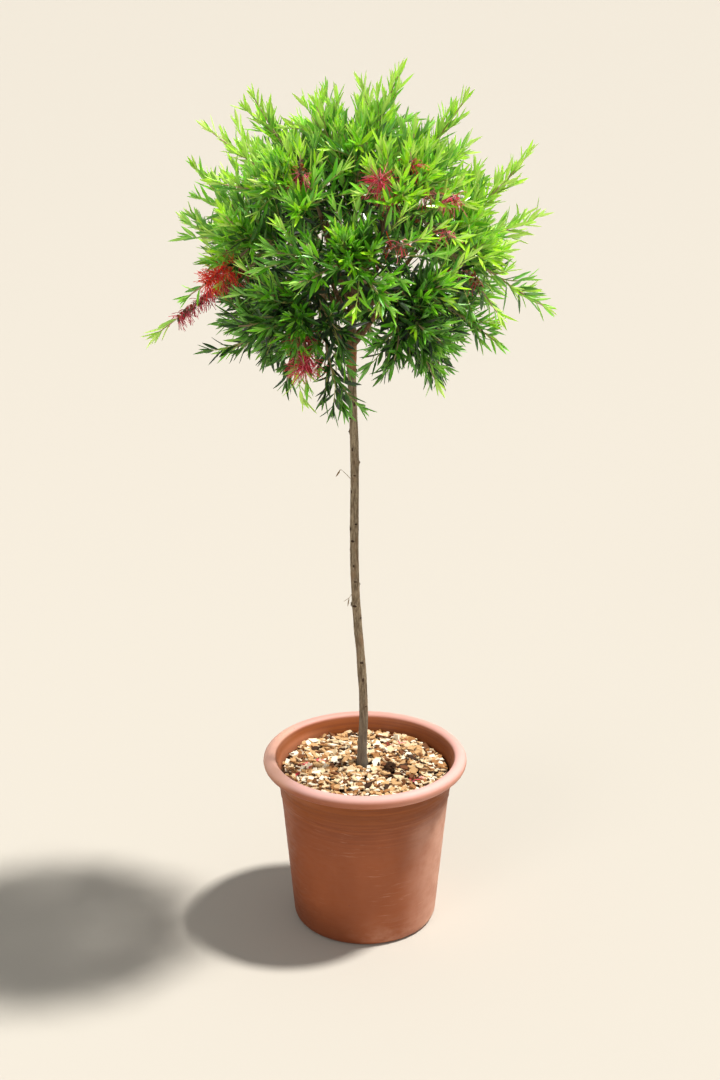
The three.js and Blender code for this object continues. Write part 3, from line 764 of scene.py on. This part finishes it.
LEADING_SHOOTS = [  # azimuth, elevation, how far the tip reaches from the crown's centre, flower spike
    (335, 75, 0.238, ""), (175, 57, 0.236, ""), (186, 41, 0.243, ""), (215, 73, 0.205, ""),
    (5, 54, 0.240, ""), (355, 30, 0.254, ""), (4, 11, 0.245, ""), (352, -14, 0.257, ""),
    (191, -20, 0.276, "dark"), (205, -9, 0.234, "scarlet"), (180, 10, 0.217, ""), (178, 27, 0.218, ""),
    (199, -34, 0.210, ""), (248, -41, 0.212, "ruby"), (264, -55, 0.218, ""), (316, -45, 0.206, ""),
    (345, -29, 0.219, ""), (277, 40, 0.205, "crimson"), (314, 24, 0.214, "fading"),
    (298, 45, 0.207, "spent"), (296, 14, 0.200, "spent"), (309, 12, 0.205, "fading"),
    (244, 44, 0.207, "fading"), (335, -17, 0.213, "bare"), (60, 35, 0.212, "scarlet"),
    (110, -12, 0.222, "crimson"), (140, 30, 0.226, "spent"), (40, -30, 0.218, "spent"), (85, 62, 0.232, ""),
]
FILLED_SHELLS = [  # share of the reach, widest gap, places tried, how much wider a gap may be low down
    (0.79, 0.0235, 1000, 1.0),
    (0.64, 0.0235, 700, 1.35),
    (0.45, 0.026, 320, 1.35),
]
HANGING_TWIGS = [  # twigs that droop below the skirt: from, by way of, to, painted light (below 0, painted shade)
    ((-0.079, -0.100, 0.839), (-0.088, -0.104, 0.806), (-0.077, -0.102, 0.774), 4.0),
    ((-0.024, -0.035, 0.812), (-0.034, -0.052, 0.790), (-0.041, -0.055, 0.748), -1.2),
]
TWIG_SIZES = [  # order, radius at the foot and at the tip, sides, steps along
    (0, 0.0025, 0.0013, 8, 10),
    (1, 0.0015, 0.0007, 6, 8),
    (2, 0.0009, 0.0005, 5, 5),
]
TWIG_COLOURS = [(132, 108, 86), (182, 152, 124), (158, 160, 92)]  # old wood, last year's, green new wood


def even_numbers(seed):
    state = seed
    while True:
        state = (state * 1664525 + 1013904223) % 4294967296
        yield state / 4294967296


def outline_reach(towards):
    tall = CROWN_UP if towards.z > 0 else CROWN_DOWN
    return 1 / math.hypot(towards.x / CROWN_WIDE, towards.y / CROWN_DEEP, towards.z / tall)


def raised(around, rise):
    """The direction at an angle round the crown whose Z is the given rise."""
    level = math.sqrt(1 - rise * rise)
    return Vector((level * math.cos(around), level * math.sin(around), rise))


def plan_tips():
    """Where the shoots end: ordinary ones in an even spiral, with the leading ones in their places."""
    numbers = even_numbers(58)
    tips = []
    for i in range(ORDINARY_SHOOTS):
        rise = lerp(0.985, CROWN_LOWEST_RISE, (i + 0.5) / ORDINARY_SHOOTS) + 0.03 * (next(numbers) - 0.5)
        towards = raised(i * GOLDEN_ANGLE + 0.25 * (next(numbers) - 0.5), rise)
        reach = outline_reach(towards) * (0.92 + 0.18 * next(numbers))
        tips.append({"towards": towards, "reach": reach, "spike": "", "leading": False})
    for azimuth, elevation, reach, spike in LEADING_SHOOTS:
        towards = direction(azimuth, elevation)
        nearest = max(tips, key=lambda tip: -1 if tip["leading"] else tip["towards"].dot(towards))
        nearest.update(towards=towards, reach=reach, spike=spike, leading=True)
    return tips


for mass in masses:
    end = CROWN_CENTRE + mass["towards"] * (outline_reach(mass["towards"]) * STEM_REACH)
    foot = mass["stem_foot"]
    mass["stem"] = Curve(foot, foot + mass["leaves"] * (0.4 * (end - foot).length), end)
    mass["tips"] = []
for tip in plan_tips():
    max(masses, key=lambda mass: mass["towards"].dot(tip["towards"]))["tips"].append(tip)


def sprung(foot, end, heading, length, sag):
    """A curve that leaves its foot along a heading and sags a little on its way to its end."""
    bend = foot.lerp(end, 0.5) + heading * (0.12 * length) - UP * (sag * length)
    return Curve(foot, bend, end)


def spray_along(curve, order, **more):
    """A stem, shoot or twig, as order 0, 1 or 2, with what it carries."""
    return {"curve": curve, "order": order, "spike": "", "leading": False, **more}


def grow_shoots(mass, number):
    """The mass's shoots as the source grows them, each from its place on the stem to its tip."""
    numbers = even_numbers(7001 + 97 * number)
    mass["tips"].sort(key=lambda tip: tip["towards"].dot(mass["towards"]))
    spacing = 0.6 / len(mass["tips"])
    shoots = []
    for i, tip in enumerate(mass["tips"]):
        start = 0.14 + spacing * (i + 0.5 * next(numbers))
        foot = mass["stem"].at(start)
        reach = tip["reach"] + 0.006 if tip["leading"] else tip["reach"] * ORDINARY_SHARE
        end = CROWN_CENTRE + tip["towards"] * (reach - TIP_ROSETTE_OUT)
        curve = sprung(foot, end, mass["stem"].heading(start), (end - foot).length, SHOOT_SAG)
        shoots.append(spray_along(curve, 1, spike=tip["spike"], leading=tip["leading"]))
    return shoots


def share_out(point):
    """How far out a point lies: 0 at the crown's centre and 1 on its outline."""
    away = point - CROWN_CENTRE
    return away.length / outline_reach(away.normalized()) if away.length > 1e-6 else 0.0


def turned_out(heading, around):
    """The direction square to a heading that an angle round it gives."""
    side, other = across(heading)
    return side * math.cos(around) + other * math.sin(around)


def grow_twigs(shoot, rng, count, first, last, longest, shortest, limits=(0.77, 0.97), slants=(22, 46)):
    """Side twigs in a spiral along a shoot, each kept a leaf's length inside the crown's outline."""
    twigs = []
    curve = shoot["curve"]
    around = rng.uniform(0, 2 * math.pi)
    for i in range(count):
        t = lerp(first, last, (i + rng.uniform(0.2, 0.8)) / count)
        foot, heading = curve.at(t), curve.heading(t)
        around += GOLDEN_ANGLE
        out = turned_out(heading, around)
        slant = math.radians(rng.uniform(*slants))
        away = (foot - CROWN_CENTRE).normalized()
        towards = heading * math.cos(slant) + out * math.sin(slant) + away * TWIG_OUTWARD + UP * TWIG_UPWARD
        towards.normalize()
        length = lerp(longest, shortest, t) * rng.uniform(0.75, 1.2)
        limit = rng.uniform(*limits)
        while share_out(foot + towards * (length + LEAF_ROOM)) > limit and length > TWIG_SHORTEST:
            length -= 0.006
        end = foot + towards * length
        twigs.append(spray_along(sprung(foot, end, heading, length, TWIG_SAG), 2))
    return twigs


def well_aside(headings):
    """Straight up for each heading, or X for one that is itself nearly upright."""
    return np.where(np.abs(headings[:, 2:]) < 0.8, [[0.0, 0.0, 1.0]], [[1.0, 0.0, 0.0]])


def tubes(curves, radii, sides, steps):
    """Closed tapering tubes along curves, as points and triangles."""
    t = np.linspace(0, 1, steps + 1)[None, :, None]
    ways = [np.array([getattr(curve, key)[:] for curve in curves]) for key in ("start", "towards", "end")]
    start, towards, end = (way[:, None] for way in ways)
    centre = start * (1 - t) ** 2 + towards * (2 * t * (1 - t)) + end * t**2
    heading = unit((towards - start) * (1 - t) + (end - towards) * t)
    side = unit(np.cross(heading, well_aside(heading[:, steps // 2])[:, None]))
    other = np.cross(heading, side)
    angle = np.arange(sides) * 2 * math.pi / sides
    radius = (radii[:, :1] + (radii[:, 1:] - radii[:, :1]) * t[:, :, 0])[:, :, None, None]
    ring = side[:, :, None] * np.cos(angle)[:, None] + other[:, :, None] * np.sin(angle)[:, None]
    points = centre[:, :, None] + ring * radius
    return points.reshape(len(curves), -1, 3), tube_triangles(sides, steps)


def tube_triangles(sides, steps):
    triangles = []
    for k in range(steps):
        for j in range(sides):
            a, b = k * sides + j, k * sides + (j + 1) % sides
            triangles += [(a, b, b + sides), (a, b + sides, a + sides)]
    last = steps * sides
    for j in range(1, sides - 1):
        triangles += [(0, j + 1, j), (last, last + j, last + j + 1)]
    return np.array(triangles)


def sampled(mass, spray):
    """Six points along a spray, each with its mass and the spray itself."""
    return [(spray["curve"].at(k / 6)[:], mass, spray) for k in range(1, 7)]


def all_sampled():
    return [point for mass in masses for spray in mass["sprays"] for point in sampled(mass, spray)]


def fill_gaps():
    """A twig more wherever a place in the crown's shell lies too far from every spray."""
    rng = np.random.default_rng(290)
    points = all_sampled()
    places = np.array([point for point, _, _ in points])
    bearers = np.array([spray["order"] < 2 and not spray["spike"] for _, _, spray in points])
    for share, widest_gap, count, open_below in FILLED_SHELLS:
        for i in range(count):
            rise = lerp(0.995, CROWN_LOWEST_RISE, (i + 0.5) / count)
            towards = raised(i * GOLDEN_ANGLE, rise)
            end = CROWN_CENTRE + towards * (outline_reach(towards) * share * rng.uniform(0.95, 1.05))
            away = np.linalg.norm(places - np.array(end), axis=1)
            if away.min() < widest_gap * (open_below if rise < 0.1 else 1.0):
                continue
            reach = (end - CROWN_CENTRE).length - 0.02
            inner = np.linalg.norm(places - np.array(CROWN_CENTRE), axis=1) < reach
            nearest = int(np.argmin(np.where(bearers & inner, away, 9.0)))
            mass = points[nearest][1]
            foot = Vector(places[nearest])
            bend = foot.lerp(end, 0.5) + towards * (0.1 * (end - foot).length)
            twig = spray_along(Curve(foot, bend, end), 2)
            mass["sprays"].append(twig)
            points += sampled(mass, twig)
            places = np.concatenate([places, [point for point, _, _ in points[-6:]]])
            bearers = np.concatenate([bearers, np.full(6, False)])


for number, mass in enumerate(masses):
    rng = np.random.default_rng(300 + number)
    stem = spray_along(mass["stem"], 0)
    shoots = grow_shoots(mass, number)
    twigs = grow_twigs(stem, rng, 16, 0.04, 0.95, 0.09, 0.06)
    for shoot in shoots:
        if shoot["spike"]:
            twigs += grow_twigs(shoot, rng, 6, 0.02, 0.3, 0.1, 0.075)
        elif shoot["leading"]:
            twigs += grow_twigs(shoot, rng, 7, 0.1, 0.7, 0.1, 0.055)
            twigs += grow_twigs(shoot, rng, 3, 0.42, 0.8, 0.07, 0.045, limits=(1.0, 1.14), slants=(16, 34))
        else:
            twigs += grow_twigs(shoot, rng, 10, 0.1, 0.8, 0.105, 0.055)
    mass["sprays"] = [stem] + shoots + twigs
fill_gaps()
for wanted, by, end, tone in HANGING_TWIGS:
    foot, mass, _ = min(all_sampled(), key=lambda found: (Vector(found[0]) - Vector(wanted)).length)
    mass["sprays"].append(spray_along(Curve(foot, by, end), 2, tone=tone))

twig_finishes = plain_finishes("twig", TWIG_COLOURS, 0.75)
for mass in masses:
    parts = []
    for order, thick, thin, sides, steps in TWIG_SIZES:
        curves = [spray["curve"] for spray in mass["sprays"] if spray["order"] == order]
        points, triangles = tubes(curves, np.array([[thick, thin]] * len(curves)), sides, steps)
        parts.append(as_part(points, triangles, np.full(len(curves), order)))
    piece_of_many(f"twigs_{mass['name']}", parts, twig_finishes, "foliage", [f"foliage_{mass['name']}"], 60)

# Leaves: stiff narrow lances three to four centimetres long, keeled, paler beneath, set in a spiral
# round every shoot and twig. New growth at the tips is lime, older leaves are deep green. On top of that,
# painted light and shade make leaves lighter high, far out and towards the key light, darker deep inside.
LEAF_SPACING = 0.0062
LEAF_LENGTH = 0.0345
LEAF_WIDTH = 0.0058
LEAF_THICKNESS = 0.0005
LEAF_SLANTS = (52, 26)  # degrees off the shoot, of an old leaf and of a young one
LEAF_LIFTS = (-0.04, 0.62)  # how far a leaf turns up to the light, low and high in the crown
LEAF_ROLL = 0.42
LEAF_GLOW = 0.2  # how much light goes through
BOX_SLACK = (0.012, 0.012, 0.018)  # how far a leaf's tip may pass the solids' own box
LEAF_RINGS = ((0.1, 0.42), (0.34, 0.96), (0.62, 0.9), (0.86, 0.45))  # share of length, share of width
BARE_FOOT = {0: 0.12, 1: 0.16, 2: 0.08}  # the share of a stem, shoot or twig that carries no leaf
ROSETTE_LEAVES = 5
LEAF_SHADES = [  # upper side and underside, dark to light: oldest to newest, painted shade to painted light
    ((14, 39, 8), (34, 61, 25)),
    ((42, 96, 12), (76, 126, 48)),
    ((82, 162, 18), (124, 184, 86)),
    ((128, 210, 32), (160, 218, 94)),
    ((176, 236, 40), (200, 240, 116)),
]
SPIKE_RUN = {  # the stretch of its shoot that each kind of flower spike takes up
    "scarlet": (0.3, 0.7), "crimson": (0.3, 0.72), "ruby": (0.26, 0.76), "fading": (0.26, 0.86),
    "spent": (0.24, 0.72), "bare": (0.3, 0.6), "dark": (0.24, 0.8),
}
FLOWER_CLEARING = {  # how far leaves keep from a spike to each side, and outwards from it
    "scarlet": (0.019, 0.045), "crimson": (0.013, 0.036), "ruby": (0.017, 0.04), "fading": (0.013, 0.04),
    "spent": (0.006, 0.03), "bare": (0.0, 0.0), "dark": (0.01, 0.05),
}


def leaves_as_part(leaves):
    """Closed keeled blades, each given by foot, heading, upper side, length, width, droop, keel, shade."""
    foot, along, upper = (np.array([leaf[k][:] for leaf in leaves]) for k in range(3))
    length, width, droop, keel = (np.array([leaf[k] for leaf in leaves])[:, None] for k in range(3, 7))
    shade = np.array([leaf[7] for leaf in leaves])
    side = np.cross(along, upper)
    rows = [foot]
    for t, share in LEAF_RINGS:
        middle = foot + along * (length * t) - upper * (droop * length * t * t)
        half = side * (width * share / 2)
        lift = upper * (keel * width * share / 2)
        rows += [middle - half + lift, middle, middle + half + lift, middle - upper * LEAF_THICKNESS]
    rows.append(foot + along * length - upper * (droop * length))
    triangles, beneath = [], []
    for j in range(4):
        a, b = 1 + j, 1 + (j + 1) % 4
        triangles += [(0, b, a)]
        for k in range(3):
            triangles += [(a + 4 * k, b + 4 * k, b + 4 * k + 4), (a + 4 * k, b + 4 * k + 4, a + 4 * k + 4)]
        triangles += [(a + 12, b + 12, 17)]
        beneath += [j >= 2] * 8
    finish = shade[:, None] * 2 + np.array(beneath)[None].astype(int)
    return as_part(np.stack(rows, 1), np.array(triangles), finish)


def spray_shade(spray, rng):
    """The spray's middle shade, mostly painted light and shade: lighter further out and higher up, with
    its own chance.
    """
    end = spray["curve"].end
    high = end.z - CROWN_CENTRE.z
    # painted light and shade: lighter further out, higher up and towards the key light
    light = 1.15 * share_out(end) + 0.85 * high / 0.2 + 0.3 * (end.x - CROWN_CENTRE.x) / 0.2
    light += 0.6 * smoothstep(high, -0.07, 0.06) - 0.35 * smoothstep(-high, 0.0, 0.1)
    light += 0.35 * smoothstep(high, -0.07, 0.0) * smoothstep(high, 0.16, 0.09)
    # painted shade at the front of the crown, painted light at its sides
    front = smoothstep(CROWN_CENTRE.y - end.y, 0.07, 0.17) * smoothstep(high, 0.13, 0.05)
    light -= front * lerp(0.05, 0.5, smoothstep(high, -0.12, -0.02))
    light += 0.4 * smoothstep(abs(end.x - CROWN_CENTRE.x), 0.08, 0.19) * smoothstep(high, -0.08, 0.02)
    # leading shoots a step lighter; a hanging twig takes its own painted light or painted shade
    light += 0.6 if spray["leading"] else spray.get("tone", 0.0)
    # the leaves beyond the dark spike painted much lighter, as painted light shining through them
    light += 2.0 if spray["spike"] == "dark" else 0.0
    return light + rng.normal(0.45, 0.75)


def inside_box(foot, towards, length):
    """The length, cut so that the tip stays with the solids' own box."""
    for k in range(3):
        room = (cad_box[1][k] + BOX_SLACK[k] if towards[k] > 0 else cad_box[0][k] - BOX_SLACK[k]) - foot[k]
        if abs(towards[k]) > 1e-6:
            length = min(length, max(room / towards[k], 0.004))
    return length


FLOWER_POINTS = [
    (spray, spray["curve"].at(lerp(*SPIKE_RUN[spray["spike"]], i / 4)))
    for mass in masses for spray in mass["sprays"] if spray["spike"] for i in range(5)
]


def hides_a_flower(spray, point):
    """True for a leaf of another spray that would lie in a flower spike, or just outside one."""
    for owner, centre in FLOWER_POINTS:
        if owner is spray:
            continue
        away = point - centre
        if away.length > 0.062:
            continue
        radius, furthest = FLOWER_CLEARING[owner["spike"]]
        out = (centre - CROWN_CENTRE).normalized()
        run = min(max(away.dot(out), 0.0), furthest)
        if (away - out * run).length < radius:
            return True
    return False


def grow_leaves(spray, rng):
    """The leaves in a spiral along a shoot or twig, and the rosette of young ones at its tip."""
    curve, leading = spray["curve"], spray["leading"]
    middle_shade = spray_shade(spray, rng)
    around = rng.uniform(0, 2 * math.pi)
    leaves = []
    bare = BARE_FOOT[spray["order"]]
    count = int(curve.length * (1 - bare) / LEAF_SPACING)
    smallest = 0.8 if leading else 0.7
    young_run = 0.08 if leading else 0.045
    young_gain = 1.4 if leading else 0.75
    low, high = SPIKE_RUN.get(spray["spike"], (1, 1))
    for i in range(count):
        t = lerp(bare, 0.985, (i + 0.5) / count)
        around += GOLDEN_ANGLE + rng.normal(0, 0.12)
        if low < t < high:
            continue
        young = smoothstep((1 - t) * curve.length, young_run, 0.0)
        foot, heading = curve.at(t), curve.heading(t)
        out = turned_out(heading, around)
        slant = math.radians(lerp(*LEAF_SLANTS, young) + rng.normal(0, 8))
        lift = lerp(*LEAF_LIFTS, smoothstep(foot.z - CROWN_CENTRE.z, -0.1, 0.13))
        along = (heading * math.cos(slant) + out * math.sin(slant) + UP * lift).normalized()
        upper = heading * math.sin(slant) - out * math.cos(slant) + UP * rng.uniform(0.1, 0.8)
        upper = (upper - along * upper.dot(along)).normalized()
        roll = rng.normal(0, LEAF_ROLL)
        upper = upper * math.cos(roll) + along.cross(upper) * math.sin(roll)
        length = LEAF_LENGTH * rng.uniform(0.8, 1.1) * lerp(1.0, smallest, young)
        length = inside_box(foot, along, length)
        if "tone" not in spray and hides_a_flower(spray, foot + along * (0.55 * length)):
            continue
        width = LEAF_WIDTH * rng.uniform(0.82, 1.12) * lerp(1.0, 0.8, young)
        # young leaves lighter; leaves deep inside the crown painted darker, as painted shade
        shade = middle_shade + lerp(-0.3, young_gain, young) + 2.6 * (share_out(foot) - 0.85)
        shade = int(min(max(round(shade + rng.normal(0, 0.5)), 0), 4))
        droop, keel = rng.uniform(-0.03, 0.12), rng.uniform(0.15, 0.45)
        leaves.append((foot, along, upper, length, width, droop, keel, shade))
    heading = curve.heading(1)
    shade = int(min(max(round(middle_shade + (2.0 if leading else 1.1)), 1), 4))
    for i in range(ROSETTE_LEAVES):
        around += GOLDEN_ANGLE
        out = turned_out(heading, around)
        slant = math.radians(lerp(24, 6, i / 4))
        along = (heading * math.cos(slant) + out * math.sin(slant)).normalized()
        upper = (heading * math.sin(slant) - out * math.cos(slant)).normalized()
        length = inside_box(curve.end, along, lerp(0.026, 0.013, i / 4) * rng.uniform(0.85, 1.15))
        leaves.append((curve.at(0.97), along, upper, length, length * 0.16, -0.02, 0.35, shade))
    return leaves


leaf_finishes = []
for i, (upper_colour, under_colour) in enumerate(LEAF_SHADES):
    leaf_finishes.append(plain_finish(f"leaf_{i + 1}_upper", upper_colour, 0.32, 0.8))
    leaf_finishes.append(plain_finish(f"leaf_{i + 1}_under", under_colour, 0.5, 0.4))
for finish in leaf_finishes:
    shader = finish.node_tree.nodes["Principled BSDF"]
    shader.inputs["Subsurface Weight"].default_value = LEAF_GLOW
    shader.inputs["Subsurface Scale"].default_value = 0.002
    shader.inputs["Subsurface Radius"].default_value = (0.7, 1.0, 0.25)
for number, mass in enumerate(masses):
    rng = np.random.default_rng(700 + number)
    blades = leaves_as_part([leaf for spray in mass["sprays"] for leaf in grow_leaves(spray, rng)])
    name = mass["name"]
    piece_of_many(f"leaves_{name}", [blades], leaf_finishes, "foliage", [f"foliage_{name}"], 26)

# Dry sprigs: two threads of dead twig left where side shoots were rubbed off the trunk. Each grows
# out of the bark and still holds one shrivelled leaf.
SPRIG_RADII = (0.0004, 0.00025)
DRY_LEAF_LENGTH = 0.0125
UPPER_TIP = (-0.0322, -0.003, 0.6534)
LOWER_ELBOW = (-0.0213, -0.002, 0.4741)
DRY_LEAVES = [  # foot, heading, width
    (UPPER_TIP, (-0.5, -0.1, -0.86), 0.0021),
    ((-0.0215, -0.002, 0.4738), (-0.16, -0.1, -0.98), 0.0016),
]

sprig_finishes = [
    plain_finish("dry_leaf", (120, 92, 48), 0.7, 0.3),
    plain_finish("dry_leaf_under", (150, 120, 72), 0.7, 0.3),
    plain_finish("dry_twig", (146, 124, 92), 0.8, 0.2),
]
sprig_curves = [
    Curve(bark_surface(0.6405, math.radians(188)), (-0.0275, -0.003, 0.650), UPPER_TIP),
    Curve(bark_surface(0.4795, math.radians(190)), (-0.0175, -0.002, 0.4795), LOWER_ELBOW),
    Curve(LOWER_ELBOW, (-0.0248, -0.003, 0.4722), (-0.0284, -0.002, 0.4689)),
]
points, triangles = tubes(sprig_curves, np.array([SPRIG_RADII] * 3), 5, 4)
dry_leaves = []
for foot, along, width in DRY_LEAVES:
    upper = Vector((0, -1, 0))
    dry_leaves.append((foot, Vector(along).normalized(), upper, DRY_LEAF_LENGTH, width, 0.1, 0.5, 0))
sprig_parts = [as_part(points, triangles, np.full(3, 2)), leaves_as_part(dry_leaves)]
piece_of_many("dry_sprigs", sprig_parts, sprig_finishes, "trunk_bark", ["trunk"], 40)

# Flower spikes: a fresh one is a brush of scarlet stamens round its shoot. A spent one keeps woody
# seed cups pressed to the shoot, with the last crimson stamens curling down from them.
STAMEN_REDS = [(240, 50, 38), (252, 110, 70), (222, 58, 84), (242, 124, 146), (170, 36, 54)]
REDS_OF = {  # the reds that a kind of spike draws from
    "scarlet": [0, 0, 1, 1, 2], "crimson": [2, 2, 3, 3, 4], "ruby": [2, 2, 4, 4, 3],
    "fading": [2, 3, 3, 4], "spent": [2, 3, 4, 4, 0], "bare": [2, 3], "dark": [2, 4, 4, 3],
}
STAMENS_LEFT = {"fading": (3, 9), "spent": (1, 6), "bare": (0, 3), "dark": (5, 11)}  # at each flower
CUP_COLOURS = [(112, 112, 84), (92, 70, 52), (150, 84, 48)]
STAMEN_THICKNESS = 0.00034
FRESH_SPACING = 0.0018
SPENT_SPACING = 0.0026
CUP_SPACING = 0.0021
CUP_RADIUS = (0.0013, 0.0019)


def spike_places(spray, rng, spacing):
    """Places round a shoot's flowering stretch, each with the shoot's heading and the way outwards."""
    curve = spray["curve"]
    low, high = SPIKE_RUN[spray["spike"]]
    around = rng.uniform(0, 2 * math.pi)
    count = int((high - low) * curve.length / spacing)
    for i in range(count):
        t = lerp(low, high, (i + 0.5) / count)
        around += GOLDEN_ANGLE
        heading = curve.heading(t)
        yield curve.at(t), heading, turned_out(heading, around)


def fresh_stamens(spray, rng):
    """A full brush: a tuft of straight stamens at nearly every flower. A crimson one is thinner."""
    curves = []
    crimson = spray["spike"] == "crimson"
    lengths = (0.014, 0.026) if spray["spike"] == "scarlet" else (0.016, 0.030)
    for foot, heading, out in spike_places(spray, rng, FRESH_SPACING):
        if rng.uniform() < 0.2 or (noise.noise(foot * 55) < -0.12 and crimson):
            continue
        towards = (out + heading * rng.uniform(0.1, 0.5)).normalized()
        for _ in range(9 if crimson else 14):
            aim = (towards + Vector(rng.normal(0, 0.45, 3))).normalized()
            end = foot + aim * rng.uniform(*lengths)
            bend = foot.lerp(end, 0.55) + Vector(rng.normal(0, 0.0022, 3))
            end -= UP * rng.uniform(0.0, 0.008)
            curves.append(Curve(foot + out * 0.001, bend, end))
    return curves


def spent_stamens(spray, rng):
    """The last few stamens of a spike, which curl and hang. A dark one keeps more, and shorter."""
    curves = []
    dark = spray["spike"] == "dark"
    for foot, _, out in spike_places(spray, rng, SPENT_SPACING):
        if noise.noise(foot * 70) < -0.05 and not dark:
            continue
        for _ in range(rng.integers(*STAMENS_LEFT[spray["spike"]])):
            aim = (out + Vector(rng.normal(0, 0.4, 3))).normalized()
            middle = foot + aim * rng.uniform(0.007, 0.016) * (0.6 if dark else 1.0)
            hanging = (aim * 0.4 - UP + Vector(rng.normal(0, 0.5, 3))).normalized()
            end = middle + hanging * rng.uniform(0.004, 0.014)
            curves.append(Curve(foot + out * 0.001, middle, end))
    return curves


def cup_template():
    bm = bmesh.new()
    bmesh.ops.create_cone(bm, cap_ends=True, segments=7, radius1=0.55, radius2=1.0, depth=1.5)
    bmesh.ops.translate(bm, verts=bm.verts, vec=(0, 0, 0.75))
    top = [f for f in bm.faces if f.normal.z > 0.9]
    bmesh.ops.inset_region(bm, faces=top, thickness=0.3, depth=-0.45)
    return template_of(bm)


def aimed_axes(directions, sizes):
    up = unit(np.array(directions))
    first = unit(np.cross(well_aside(up), up))
    return np.stack([first, np.cross(up, first), up], 1) * np.array(sizes)[:, None, None]


stamen_finishes = plain_finishes("stamen", STAMEN_REDS, 0.6)
cup_finishes = plain_finishes("cup", CUP_COLOURS, 0.75)
rng = np.random.default_rng(90)
stamens, cups, flowering = [], [], []
cup = cup_template()
for mass in masses:
    for spray in mass["sprays"]:
        if not spray["spike"]:
            continue
        flowering.append(f"foliage_{mass['name']}")
        fresh = spray["spike"] in ("scarlet", "crimson", "ruby")
        curves = fresh_stamens(spray, rng) if fresh else spent_stamens(spray, rng)
        radii = np.full((len(curves), 2), STAMEN_THICKNESS) * (1.0 if fresh else 1.15)
        points, triangles = tubes(curves, radii, 3, 3 if fresh else 4)
        stamens.append(as_part(points, triangles, rng.choice(REDS_OF[spray["spike"]], len(curves))))
        places = list(spike_places(spray, rng, CUP_SPACING))
        sizes = rng.uniform(*CUP_RADIUS, len(places)) * (0.8 if fresh else 1.4)
        feet = np.array([(foot + out * 0.0004)[:] for foot, _, out in places])
        axes = aimed_axes([(out + heading * 0.2)[:] for _, heading, out in places], sizes)
        cups.append(copies_of(cup, feet, axes, rng.choice([0, 0, 1, 2], len(places))))
flowering = sorted(set(flowering))
piece_of_many("stamens", stamens, stamen_finishes, "foliage", flowering, 60)
piece_of_many("seed_cups", cups, cup_finishes, "foliage", flowering, 40)

# Fallen stamens: crimson threads that have dropped from the spikes in little tufts. They lie arched
# and crossed on top of the chips.
FALLEN_PLACES = [
    (-0.083, 0.001), (-0.089, -0.029), (-0.065, 0.010), (0.034, 0.061),
    (0.0635, -0.050), (0.0745, -0.044), (-0.076, -0.014), (0.051, 0.064),
]
FALLEN_THICKNESS = 0.0004
ARCH_HEIGHT, TIP_DROP = 0.0012, 0.0008

fallen = []
for x, y in FALLEN_PLACES:
    for _ in range(rng.integers(4, 8)):
        start = Vector((x, y, 0)) + Vector((rng.normal(0, 0.003), rng.normal(0, 0.003), 0))
        start.z = fill_top(start.length) + rng.uniform(0.0036, 0.0046)
        heading = rng.uniform(0, 2 * math.pi)
        along = Vector((math.cos(heading), math.sin(heading), 0)) * rng.uniform(0.005, 0.010)
        aside = Vector((-along.y, along.x, 0)) * rng.uniform(-0.4, 0.4)
        arch = along * 0.5 + aside + UP * ARCH_HEIGHT
        fallen.append(Curve(start, start + arch, start + along - UP * TIP_DROP))
points, triangles = tubes(fallen, np.full((len(fallen), 2), FALLEN_THICKNESS), 3, 4)
fallen_part = as_part(points, triangles, rng.choice([2, 2, 3, 4], len(fallen)))
piece_of_many("fallen_stamens", [fallen_part], stamen_finishes, "foliage", ["pot_filling"], 60)
